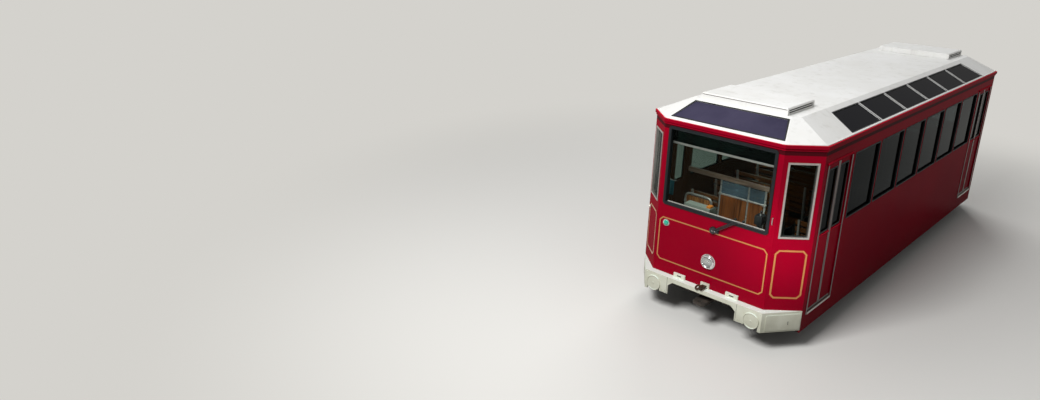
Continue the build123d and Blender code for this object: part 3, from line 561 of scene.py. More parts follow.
@cache
def shade_darkened_aluminium():
    """Door sections and pod strips in a darker copy of the brushed aluminium, painted shade: dull
    grey-bronze, rubbed a little brighter where hands reach.
    """
    # Painted shade: the same aluminium as the trim elsewhere, made darker
    metal = {"Metallic": 0.9}
    return start_finish("shade_darkened_aluminium", "7C7371", "8F8683", 0.6, 160, (0.35, 0.5), 2, 0.02, metal)


@cache
def chrome_plate():
    """Polished chrome plate: a sharp mirror with a few dull spots."""
    metal = {"Metallic": 0.75}
    return start_finish("chrome_plate", "E6E6E4", "C0C0BD", 0.3, 30, (0.06, 0.16), 2, 0.004, metal)


@cache
def moulded_rubber():
    """Black moulded rubber, weathered: dark blue-grey, dull, a little chalky."""
    dull = {"Specular IOR Level": 0.25}
    return start_finish("moulded_rubber", "14181B", "24282B", 0.5, 80, (0.5, 0.7), 3, 0.05, dull)


def glass_finish(name, passed, mirror, least=0.03, rough=0.02, within="FFFFFF", metal=1.0):
    """Sheet glass under a mirror film, with a tint that darkens only what an eye outside sees through it: on
    the side and corner windows that tint is painted shade of the dim cabin.

    passed is the colour that the tint lets through to an eye outside, painted shade on the side and corner
    windows, and within the one to an eye inside.
    least is the share that the film mirrors when seen straight on; a film of no metal is a bloom of dust.
    """
    made = start_finish(name, mirror, mirror, 0.0, 900, (rough, rough + 0.02), 600, 0.2, {"Metallic": metal})
    tree = made.node_tree
    geometry = add_node(tree, "NewGeometry").outputs
    behind = geometry["Backfacing"]
    place = add_node(tree, "TexCoord").outputs["Object"]
    flat = add_node(tree, "VectorMath", {1: (1.0, 1.0, 0.0)}, {0: place}, operation="MULTIPLY")
    towards = add_node(tree, "VectorMath", feeds={0: flat, 1: geometry["Normal"]}, operation="DOT_PRODUCT")
    outside = add_node(tree, "Math", {1: 0.0}, {0: towards.outputs["Value"]}, operation="GREATER_THAN")
    # The tint, painted shade on the side and corner windows, darkens only rays from outside: the view in, not
    # the lamps' light reaching the cabin
    film = add_node(tree, "Math", feeds={0: outside, 1: behind}, operation="SUBTRACT", use_clamp=True)
    leaving = add_node(tree, "Math", feeds={0: behind, 1: outside}, operation="SUBTRACT", use_clamp=True)
    clear_or_passed = {MIX_A: linear("FFFFFF"), MIX_B: linear(passed)}
    tint = add_node(tree, "Mix", clear_or_passed, {"Factor": film}, data_type="RGBA")
    inward = {MIX_A: tint.outputs[MIX_RESULT], "Factor": leaving}
    dimmed = add_node(tree, "Mix", {MIX_B: linear(within)}, inward, data_type="RGBA")
    clear = add_node(tree, "BsdfTransparent", feeds={"Color": dimmed.outputs[MIX_RESULT]})
    slant = add_node(tree, "Fresnel", {"IOR": 1.45})
    share = add_node(tree, "MapRange", {"From Min": 0.03, "To Min": least}, {"Value": slant})
    mirrored = add_node(tree, "Math", feeds={0: share, 1: film}, operation="MULTIPLY")
    sheet = add_node(tree, "MixShader", feeds={0: mirrored, 1: clear, 2: tree.nodes["Principled BSDF"]})
    feed(tree.nodes["Material Output"], {"Surface": sheet})
    return made


@cache
def safety_glass():
    """Toughened safety glass with a green tint: clear, flat, mirror smooth."""
    return glass_finish("safety_glass", colours().pane, "5E6A68")


@cache
def side_glass():
    """Safety glass of the side windows and doors, tinted much darker for an eye outside: painted shade of the
    dim cabin.
    """
    return glass_finish("tinted_safety_glass", colours().side_pane, "2E393C", 0.02, within="66746C")


@cache
def corner_glass():
    """Safety glass of the corner windows, whose tint, painted shade of the dim cabin, is thinner than the
    side windows'.
    """
    return glass_finish("corner_safety_glass", "A6B2B0", "2A3638", 0.02, within="D0D8D6")


@cache
def pale_glass():
    """Pale blue-green float glass of the partitions: clear under a bloom of dust."""
    return glass_finish("float_glass", "A4C6C8", "86A4B4", 0.3, 0.06, metal=0.0)


@cache
def visor_film():
    """Dark green polyester film of the sun visors: smooth, nearly black against the cab."""
    return glass_finish("visor_film", "1E3430", "4A605C", 0.02)


@cache
def roof_glass():
    """Body-tinted roof glass: violet-grey on the ends, partly its own tint and partly a painted reflection of
    the sky, and nearly black on the sides, painted shade.
    """
    made = start_finish(
        "solar_roof_glass", colours().roof_pane, "4C485E", 0.9, 700, (0.1, 0.2), 300, 0.4,
        {"Specular IOR Level": 0.12},
    )
    tree = made.node_tree
    # Painted shade: the lights along the sides darkened to nearly black
    reach = add_node(tree, "Math", feeds={0: coordinate(tree, "X")}, operation="ABSOLUTE")
    side = add_node(tree, "MapRange", {"From Min": 0.845, "From Max": 0.850}, {"Value": reach})
    return layer_colour(made, "15161C", side)


@cache
def lamp_glass():
    """Clear pressed lamp glass: fine upright flutes that scatter the light."""
    made = glass_finish("pressed_lamp_glass", "DCE2E0", "F2F4F4", 0.22, 0.12)
    tree = made.node_tree
    place = {"Vector": add_node(tree, "TexCoord").outputs["Object"]}
    fluted = {"Scale": per(11) / 20 * pi, "Distortion": 0.0}  # one flute in every 11 mm
    return add_relief(made, add_node(tree, "TexWave", fluted, place, bands_direction="X").outputs["Fac"], 0.4)


@cache
def green_lens():
    """Moulded green lamp lens: glassy, deep teal, lit from within by the day."""
    return start_finish(
        "green_lens", colours().lamp, "159078", 0.4, 30, (0.08, 0.16), 12, 0.1,
        {"Coat Weight": 0.8, "Coat Roughness": 0.03, "Subsurface Weight": 0.2, "Subsurface Scale": 0.01},
    )


@cache
def varnished_teak():
    """Varnished teak: mid brown with darker grain along the board, satin varnish."""
    made = start_finish(
        "varnished_teak", colours().teak, "8C5A30", 0.7, 240, (0.28, 0.42), 4, 0.04,
        {"Coat Weight": 0.35, "Coat Roughness": 0.15},
    )
    return layer_colour(made, "3F2210", streaks(made.node_tree, (1.5, 60.0, 60.0), 6.0, 0.6, 0.48, 0.72, 0.7))


def board_finish(name, base, light, dark, along, board=None):
    """Varnished wood with its grain along an axis, in boards of board millimetres that differ in shade."""
    made = start_finish(
        name, base, light, 0.7, 300, (0.3, 0.45), 4, 0.04, {"Coat Weight": 0.3, "Coat Roughness": 0.2}
    )
    tree = made.node_tree
    stretch = [1.6 if axis == along else 55.0 for axis in "XYZ"]
    layer_colour(made, dark, streaks(tree, stretch, 6.0, 0.5, 0.44, 0.62, 0.85))
    if board:
        count = add_node(tree, "Math", {1: per(board)}, {0: coordinate(tree, "X")}, operation="MULTIPLY")
        number = add_node(tree, "Math", feeds={0: count}, operation="FLOOR")
        shade = add_node(tree, "TexWhiteNoise", feeds={"W": number}, noise_dimensions="1D")
        layer_colour(made, dark, add_node(tree, "Math", {1: 0.35}, {0: shade}, operation="MULTIPLY"))
    return made


@cache
def partition_teak():
    """Tongued boards of teak, upright: each board a little lighter or darker than its neighbour."""
    return board_finish("upright_teak_boards", "8C4E24", "A8683A", "42220F", "Z", 88)


@cache
def painted_light_barrier_teak():
    """A paler copy of the partition teak for the barrier behind the driver: painted light, so that it stands
    out in the dim cab.
    """
    # Painted light: paler than the same boards of the partition
    return board_finish("painted_light_teak_boards", "D4884A", "E0A264", "7C4822", "Z", 88)


@cache
def header_oak():
    """Pale oak of the beam over the partition, under old satin varnish."""
    return board_finish("varnished_oak", "8C7564", "9C8672", "5E4C3E", "X")


@cache
def brushed_stainless():
    """Satin stainless tube: pale and cool with a broad soft highlight, a little greasy from hands."""
    metal = {"Metallic": 0.55}
    return start_finish("brushed_stainless", "DCDAD2", "BDBAB0", 0.6, 120, (0.22, 0.4), 2, 0.02, metal)


@cache
def studded_rubber():
    """Studded rubber flooring: dark grey, dull, round studs about 25 mm apart."""
    made = start_finish("studded_rubber", "3A3B3C", "4C4A46", 0.6, 300, (0.6, 0.8), 4, 0.05)
    tree = made.node_tree
    place = add_node(tree, "TexCoord").outputs["Object"]
    cells = add_node(tree, "TexVoronoi", {"Scale": per(25), "Randomness": 0.0}, {"Vector": place})
    studs = add_node(tree, "MapRange", {"From Min": 0.35, "From Max": 0.25}, {"Value": cells})
    return add_relief(made, studs, 1.0)


@cache
def desk_laminate():
    """Grey-green GRP of the driver's desk: moulded, with a fine leather grain."""
    return start_finish("desk_laminate", "8E968A", "7C8378", 0.5, 300, (0.4, 0.55), 3, 0.12)


@cache
def gold_line():
    """Gold line enamel, hand painted: warm ochre gold with a soft gloss and slight brush marks."""
    gilt = {"Coat Weight": 0.4, "Metallic": 0.15}
    return start_finish("gold_line_enamel", colours().line, "B87832", 0.6, 70, (0.3, 0.45), 5, 0.03, gilt)


@cache
def forged_iron():
    """Forged iron, rusted: dark scale with orange-brown bloom."""
    return start_finish("forged_iron", "33231A", "6E4022", 0.7, 25, (0.6, 0.85), 3, 0.3, {"Metallic": 0.3})


@cache
def black_lacquer():
    """Black stoved lacquer on small castings: smooth, satin, chipped grey at a few spots."""
    coat = {"Coat Weight": 0.2}
    return start_finish("black_stove_lacquer", "17181B", "4A4A4A", 0.12, 20, (0.3, 0.45), 4, 0.03, coat)


@cache
def ivory_plastic():
    """Ivory phenolic plastic of dials and lamp covers: moulded and polished."""
    coat = {"Coat Weight": 0.3}
    return start_finish("ivory_phenolic", "E4E0D2", "D2CCB8", 0.5, 15, (0.2, 0.3), 5, 0.01, coat)


@cache
def signal_orange():
    """Signal orange ABS, moulded: even, half gloss."""
    return start_finish("orange_abs", "D9822B", "C06E1E", 0.4, 30, (0.35, 0.45), 3, 0.03)


@cache
def teal_cloth():
    """Woven teal blind: matt, a plain weave of threads drawn 4 mm apart so that it shows."""
    made = start_finish("teal_blind_cloth", "1F5F69", "2B7580", 0.6, 40, (0.8, 0.9), 4, 0.2)
    tree = made.node_tree
    place = {"Vector": add_node(tree, "TexCoord").outputs["Object"]}
    return add_relief(made, add_node(tree, "TexChecker", {"Scale": per(4)}, place).outputs["Fac"], 0.3)


@cache
def dark_grille():
    """Black powder coat inside a vent: matt, swallowing light."""
    return start_finish("dark_powder_coat", "17181A", "242526", 0.4, 50, (0.6, 0.75), 2, 0.05)


# The finish of every slot of the frame, and of the nodes that depart from their slot
SLOT_FINISHES = {
    "body_paint": coach_enamel,
    "roof_paint": roof_enamel,
    "skirt_paint": skirt_enamel,
    "chassis_paint": chassis_paint,
    "wheel_steel": wheel_steel,
    "rubber": moulded_rubber,
    "aluminium": brushed_aluminium,
    "window_glass": safety_glass,
    "roof_glass": roof_glass,
    "chrome": chrome_plate,
    "lens_glass": lamp_glass,
    "lamp_glass": green_lens,
    "wood": varnished_teak,
    "bench_steel": brushed_stainless,
    "floor_covering": studded_rubber,
    "desk": desk_laminate,
}
NODE_FINISHES = {
    "side_window_glass": side_glass,
    "corner_window_glass": corner_glass,
    "partition_glass": pale_glass,
    "towing_brackets": worn_bracket,
}


class FUNICULAR_OT_finishes(Operator):
    """Give every solid of the frame its finish"""

    bl_idname = "funicular.finishes"
    bl_label = "Finishes of the frame"

    def execute(self, context):
        for subpart in frame["record"]["subparts"]:
            name = subpart["node"]
            finish = NODE_FINISHES.get(name, SLOT_FINISHES[subpart["material_slot"]])
            if name.startswith("door_glass"):
                finish = side_glass
            materials = frame["nodes"][name].data.materials
            materials.clear()
            materials.append(finish())
        return {"FINISHED"}


class FUNICULAR_OT_coach_lines(Operator):
    """Gold lines with cut corners on the noses and the chamfered corners"""

    bl_idname = "funicular.coach_lines"
    bl_label = "Coach lines"

    nose_line = (-0.856, 0.856, 0.799, 1.477)
    corner_line = (-0.216, 0.216, 0.787, 1.497)
    corner_width = 1.3  # how much wider the lines of the corners are

    def execute(self, context):
        mesh = bmesh.new()
        for end in ENDS.values():
            self.add_line(mesh, nose(end), self.nose_line, sizes().line_width)
            for side in SIDES.values():
                width = sizes().line_width * self.corner_width
                self.add_line(mesh, chamfer(side, end), self.corner_line, width)
        piece("coach_lines", mesh, gold_line())
        return {"FINISHED"}

    def add_line(self, mesh, place, bounds, width):
        """One closed line of even width inside its bounds."""
        cut = sizes().line_cut
        inner = cut_rectangle(*grown(bounds, -width), cut - width * (2 - sqrt(2)))
        ring(mesh, place, cut_rectangle(*bounds, cut), inner, 0.0001, 0.0012)


class FUNICULAR_OT_glazing(Operator):
    """Filler strips and sun visors of the windscreens, and the gaskets of the side windows"""

    bl_idname = "funicular.glazing"
    bl_label = "Glazing trim"

    strip_width = 0.016
    visor_foot = 2.60
    visor_out = -0.085  # the visor and its bar hang behind the nose
    bar_radius = 0.017
    lip = 0.006  # how far a side gasket laps over the wall

    def execute(self, context):
        low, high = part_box("windscreen_glass")
        pane_out, half = high.y - HALF_LENGTH, high.x
        strips, visors, bars, gaskets = meshes(4)
        for end in ENDS.values():
            place = nose(end)
            foot = low.z + 0.002
            out = (pane_out + 0.0005, pane_out + 0.006)
            block(strips, place, 0.02 - half, half - 0.02, foot, foot + self.strip_width, *out)
            film = (self.visor_out - 0.002, self.visor_out + 0.002)
            block(visors, place, -half - 0.01, half + 0.01, self.visor_foot, high.z + 0.01, *film)
            bar = [(x, self.visor_foot, self.visor_out) for x in (-half - 0.015, half + 0.015)]
            tube(bars, place, bar, self.bar_radius)
        piece("windscreen_strips", strips, brushed_stainless(), bevel=0.001)
        piece("sun_visors", visors, visor_film())
        piece("visor_bars", bars, brushed_aluminium())
        for side, bounds in product(SIDES.values(), window_bounds()):
            inner = rounded_rectangle(*grown(bounds, -sizes().gasket_width), 0.020)
            ring(gaskets, flank(side), rounded_rectangle(*bounds, 0.030), inner, -0.020, -0.0005)
            ring(gaskets, flank(side), rounded_rectangle(*grown(bounds, self.lip), 0.034), inner, LIFT, 0.004)
        piece("side_gaskets", gaskets, moulded_rubber())
        return {"FINISHED"}


def window_bounds():
    """Bounds of each side window along one side."""
    low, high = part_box("side_window_glass")
    count, post = 6, 0.062
    pitch = (high.y - low.y + post) / count
    half = (pitch - post) / 2
    middles = [low.y + half + index * pitch for index in range(count)]
    return [(middle - half, middle + half, low.z, high.z) for middle in middles]


class FUNICULAR_OT_doors(Operator):
    """Metal posts, leaf edges, sill beads and the mouldings over the doorways"""

    bl_idname = "funicular.doors"
    bl_label = "Door trim"

    gap = 0.008  # between a leaf and the post beside it
    drip_foot = 2.668
    drip_height = 0.032
    drip_over = 0.06  # how far the moulding runs past the doorway
    seat = 0.0005  # foot of a moulding over its surface
    strip_edge = 0.0085  # from a leaf's foot and head to its strips
    foot_strip = 0.026
    gasket_half = 0.012
    bead_half = 0.012
    bead_drop = 0.038  # from the foot of the pane to the middle of the bead

    def execute(self, context):
        jambs, drips = meshes(2)
        jamb, reach = sizes().jamb_width, sizes().drip_reach
        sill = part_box("door_thresholds")[0].z
        foot, top = self.drip_foot, self.drip_foot + self.drip_height
        slant = foot + self.drip_height * 0.45
        section = [(self.seat, foot), (reach, foot), (reach, slant), (self.seat, top)]
        for (side_name, side), (end_name, end) in product(SIDES.items(), ENDS.items()):
            place = flank(side)
            leaves = [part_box(f"door_{end_name}_{side_name}_{leaf}") for leaf in LEAVES]
            start = min(low.y for low, _ in leaves) - self.gap
            stop = max(high.y for _, high in leaves) + self.gap
            left, right = sorted((side * start, side * stop))
            for x in (left - jamb, right):
                block(jambs, place, x, x + jamb, sill, leaves[0][1].z, LIFT, 0.009)
            rail(drips, place, section, left - self.drip_over, right + self.drip_over * 0.4)
            for leaf in LEAVES:
                self.dress_leaf(f"door_{end_name}_{side_name}_{leaf}", side, side * end * LEAVES[leaf] < 0)
        # The posts take the darkened aluminium, painted shade
        piece("door_jambs", jambs, shade_darkened_aluminium(), bevel=0.003)
        piece("door_drips", drips, coach_enamel(), bevel=0.003)
        return {"FINISHED"}

    def dress_leaf(self, body, side, free_is_high):
        """The free edge, foot strip, pane gasket and sill bead of one door leaf."""
        low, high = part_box(body)
        pane_low, pane_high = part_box(body.replace("door_", "door_glass_"))
        place = shift(flank(side), 0, 0, (high.x if side > 0 else -low.x) - HALF_WIDTH)
        left, right = sorted((side * low.y, side * high.y))
        pane = (*sorted((side * pane_low.y, side * pane_high.y)), pane_low.z, pane_high.z)
        metal, rubber, paint = meshes(3)
        wide = sizes().stile_width
        stile = (right - wide, right) if free_is_high else (left, left + wide)
        foot = low.z + self.strip_edge
        block(metal, place, *stile, foot, high.z - self.strip_edge, LIFT, 0.006)
        block(metal, place, left + 0.002, right - 0.002, foot, foot + self.foot_strip, LIFT, 0.004)
        outer = rounded_rectangle(*grown(pane, self.gasket_half), 0.034)
        ring(rubber, place, outer, rounded_rectangle(*grown(pane, -self.gasket_half), 0.018), LIFT, 0.004)
        middle = pane_low.z - self.bead_drop
        foot, top = middle - self.bead_half, middle + self.bead_half
        section = [(self.seat, foot), (0.014, foot), (0.017, middle), (0.010, top), (self.seat, top)]
        bead = (left + 0.004, stile[0]) if free_is_high else (stile[1], right - 0.004)
        rail(paint, place, section, *bead)
        piece(f"{body}_metal", metal, shade_darkened_aluminium(), body, bevel=0.0015)
        piece(f"{body}_gasket", rubber, moulded_rubber(), body)
        piece(f"{body}_bead", paint, coach_enamel(), body, bevel=0.002)


class FUNICULAR_OT_lamps(Operator):
    """Headlights with their bowls and bulbs, and the green marker lamps"""

    bl_idname = "funicular.lamps"
    bl_label = "Lamps"

    rim_width = 0.024
    glass_rise = 0.012
    bezel_width = 0.012

    def execute(self, context):
        self.add_headlights(sizes().lamp_segments)
        self.add_markers(sizes().lamp_segments)
        return {"FINISHED"}

    def add_headlights(self, count):
        """The bowl, bulb, domed glass and flange of each headlight."""
        low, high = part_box("headlight_rims")
        centre, radius, proud = (low.z + high.z) / 2, high.x, high.y - HALF_LENGTH
        bowl, edge = radius - self.rim_width, proud * 0.86
        dish = [(bowl, edge), (bowl * 0.8, proud * 0.5), (bowl * 0.45, proud * 0.3), (0, 0.009)]
        glass = [(bowl, proud * 0.84), *dome(bowl, edge, self.glass_rise, 6)]
        bulb = [(0.012, 0.010), (0.012, 0.018), (0.008, 0.026), (0, 0.028)]
        seat, rim = radius + LIFT, radius + 0.009
        flange = [(seat, LIFT), (rim, LIFT), (rim - 0.001, 0.005), (seat, 0.007)]
        bowls, lenses, bulbs, flanges = meshes(4)
        for end in ENDS.values():
            place = shift(nose(end), 0, centre)
            lathe(bowls, place, dish, count)
            lathe(lenses, place, glass, count)
            lathe(bulbs, place, bulb, 20)
            lathe(flanges, place, flange, count)
        piece("headlight_bowls", bowls, polished_steel())
        piece("headlight_domes", lenses, lamp_glass(), replaces=["headlight_lenses"], sharp=60)
        piece("headlight_bulbs", bulbs, polished_steel())
        piece("headlight_flanges", flanges, chrome_plate())

    def add_markers(self, count):
        """The green dome and the chromed bezel of each marker lamp."""
        low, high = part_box("marker_lamps")
        centre, radius, proud = (low.z + high.z) / 2, (high.z - low.z) / 2, high.y - HALF_LENGTH
        lens, rim = radius - 0.0025, radius + self.bezel_width
        cover = [(lens, 0.004), *dome(lens, 0.008, proud - 0.008, 8)]
        bezel = [(0, 0.0004), (rim, 0.0004), (rim, 0.006), (rim - 0.006, 0.014), (lens, 0.010), (0, 0.004)]
        domes, bezels = meshes(2)
        for end in ENDS.values():
            place = shift(nose(end), low.x + radius, centre)
            lathe(domes, place, cover, count)
            lathe(bezels, place, bezel, count)
        piece("marker_domes", domes, green_lens(), replaces=["marker_lamps"], sharp=60)
        piece("marker_bezels", bezels, chrome_plate())


class FUNICULAR_OT_roof(Operator):
    """Louvres and bars in the slots of the roof pods, and a dark strip across each pod's face, a painted
    shadow under its top edge
    """

    bl_idname = "funicular.roof"
    bl_label = "Roof pods"

    slot_margin = 0.047
    slot_foot, slot_top = 0.029, 0.071  # over the foot of the pod
    louvres = 4
    louvre = ((-0.022, -0.003), (-0.004, -0.007), (-0.004, -0.004), (-0.022, 0.001))  # depth and rise
    bar_half = 0.006

    def execute(self, context):
        mesh, shadow_lines, bars = meshes(3)
        for end_name, end in ENDS.items():
            low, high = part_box(f"roof_pod_{end_name}")
            face = panel((0, high.y if end > 0 else low.y, 0), (0, end, 0))
            # Painted shadow: a thin dark strip just under the top edge of the pod's face, where the top
            # throws shade
            block(shadow_lines, face, low.x + 0.01, high.x - 0.01, high.z - 0.026, high.z - 0.017, 0.0002, 0.001)
            foot, top = low.z + self.slot_foot, low.z + self.slot_top
            middle = (foot + top) / 2
            for side in SIDES.values():
                place = panel((side * high.x, 0, 0), (side, 0, 0))
                left, right = sorted((side * low.y, side * high.y))
                left, right = left + self.slot_margin, right - self.slot_margin
                block(bars, place, left, right, middle - self.bar_half, middle + self.bar_half, -0.02, -0.002)
                for row in range(self.louvres):
                    y = foot + (row + 0.5) * (top - foot) / self.louvres
                    rail(mesh, place, [(z, y + rise) for z, rise in self.louvre], left, right)
        piece("pod_louvres", mesh, dark_grille())
        piece("pod_shadow_lines", shadow_lines, shade_darkened_aluminium())
        piece("pod_bars", bars, roof_enamel())
        return {"FINISHED"}


class FUNICULAR_OT_roof_lights(Operator):
    """Thin dark frames round the roof lights and the white bead along the eaves"""

    bl_idname = "funicular.roof_lights"
    bl_label = "Roof light frames and eaves"

    # Sizes in plan: feet and heads are measured inward from the eave, halves from the middle
    slope_run = 0.485
    end_foot, end_head = 0.070, 0.425
    end_half_foot, end_half_head = 0.840, 0.696
    side_foot, side_head = 0.040, 0.395
    side_start = 1.270
    hip_foot, hip_head = 1.210, 1.345  # where the first and last side lights end, from the nose
    bar = 0.060
    bead_radius = 0.009

    def execute(self, context):
        frames, beads = meshes(2)
        self.frame_end_lights(frames)
        self.frame_side_lights(frames)
        self.add_eaves(beads)
        piece("roof_light_frames", frames, dark_grille())
        piece("eave_beads", beads, roof_enamel(), sharp=60)
        return {"FINISHED"}

    def slope(self, normal, reach):
        """The slope of one roof side, whose Y is measured up it from the eave, and its stretch in plan."""
        tilt = atan2(ROOF_TOP - EAVE, self.slope_run)
        out = Vector((normal[0] * sin(tilt), normal[1] * sin(tilt), cos(tilt)))
        return panel((normal[0] * reach, normal[1] * reach, EAVE), out), 1 / cos(tilt)

    def frame_light(self, mesh, place, corners, width):
        """A flat frame of a width round a light's four corners."""
        middle_x, middle_y = (sum(values) / 4 for values in zip(*corners))
        outer, inner = (
            [(x + by * (1 if x > middle_x else -1), y + by * (1 if y > middle_y else -1)) for x, y in corners]
            for by in (width, -0.004)
        )
        ring(mesh, place, outer, inner, 0.0004, 0.004)

    def frame_end_lights(self, mesh):
        """The frame of the light over each nose."""
        for end in ENDS.values():
            place, stretch = self.slope((0, end), HALF_LENGTH)
            foot, head = self.end_foot * stretch, self.end_head * stretch
            corners = [
                (-self.end_half_foot, foot), (self.end_half_foot, foot),
                (self.end_half_head, head), (-self.end_half_head, head),
            ]
            self.frame_light(mesh, place, corners, sizes().light_frame)

    def frame_side_lights(self, mesh):
        """The frames along each side, whose first and last lights are cut along the hips."""
        count = len(window_bounds())
        pitch = 2 * (HALF_LENGTH - self.side_start) / count
        for side, index in product(SIDES.values(), range(count)):
            place, stretch = self.slope((side, 0), HALF_WIDTH)
            foot, head = self.side_foot * stretch, self.side_head * stretch
            start = -HALF_LENGTH + self.side_start + index * pitch + self.bar / 2
            stop = start + pitch - self.bar
            ends = [start, stop, stop, start]
            if index == 0:
                ends[0], ends[3] = self.hip_foot - HALF_LENGTH, self.hip_head - HALF_LENGTH
            if index == count - 1:
                ends[1], ends[2] = HALF_LENGTH - self.hip_foot, HALF_LENGTH - self.hip_head
            corners = [(side * y, z) for y, z in zip(ends, (foot, foot, head, head))]
            self.frame_light(mesh, place, corners, sizes().light_frame * 0.6)

    def add_eaves(self, mesh):
        """One bead round the whole roof, along its eaves."""
        z = EAVE + self.bead_radius * 0.8
        right = [(HALF_NOSE, HALF_LENGTH), (HALF_WIDTH, SIDE_END)]
        right = [(x, -y) for x, y in right] + right[::-1]
        corners = [Vector((x * turned, y * turned, z)) for turned in (1, -1) for x, y in right]
        path = [a.lerp(b, t) for a, b in zip(corners, corners[1:] + corners[:1]) for t in (0.02, 0.98)]
        tube(mesh, HERE, path, self.bead_radius, count=12, closed=True)


class FUNICULAR_OT_wipers(Operator):
    """Wipers: a drive casting, two parallel arms, the blade carrier and its rubber"""

    bl_idname = "funicular.wipers"
    bl_label = "Wipers"

    box_middle = (0.050, 1.511)
    box_half = (0.0665, 0.031)
    box_step, box_out = 0.0238, 0.034  # heights of the wider and the narrower part
    boss = [(0.054, 0.0005), (0.054, 0.026), (0.042, 0.042), (0, 0.042)]
    boss_shift = -0.02
    arm_spacing = 0.040
    arm_radius = 0.0105
    arm_out = 0.022
    blade = (0.300, 0.750)  # start and end across the nose
    blade_height = 1.722

    def execute(self, context):
        castings, rubbers, pins = meshes(3)
        x, z = self.box_middle
        start, stop = self.blade
        height, out = self.blade_height, self.arm_out
        for end in ENDS.values():
            place = nose(end)
            bounds = about(x, z, *self.box_half)
            for grow, low, top in ((0.0, 0.0005, self.box_step), (-0.008, self.box_step, self.box_out)):
                slab(castings, place, rounded_rectangle(*grown(bounds, grow), 0.014), low, top)
            lathe(castings, shift(place, x + self.boss_shift, z), self.boss, 28)
            for across in (-self.arm_spacing / 2, self.arm_spacing / 2):
                foot = Vector((x + across, z, self.box_out))
                tip = Vector((start + 0.045 + across, height, out + 0.006))
                elbow = foot.lerp(tip, 0.12) + Vector((0, 0, 0.004))
                tube(castings, place, (foot, elbow, tip), self.arm_radius)
                stud(pins, shift(place, *foot), -0.002, 0.010, 0.012, 0.008, 0.006, 16)
            block(castings, place, start, start + 0.13, height - 0.006, height + 0.006, out, out + 0.010)
            block(castings, place, start, stop, height - 0.004, height + 0.004, out - 0.004, out + 0.002)
            block(rubbers, place, start, stop, height - 0.008, height + 0.003, 0.0125, out - 0.004)
        piece("wiper_castings", castings, black_lacquer(), replaces=["wipers"], bevel=0.001)
        piece("wiper_pins", pins, polished_steel())
        piece("wiper_rubbers", rubbers, moulded_rubber())
        return {"FINISHED"}


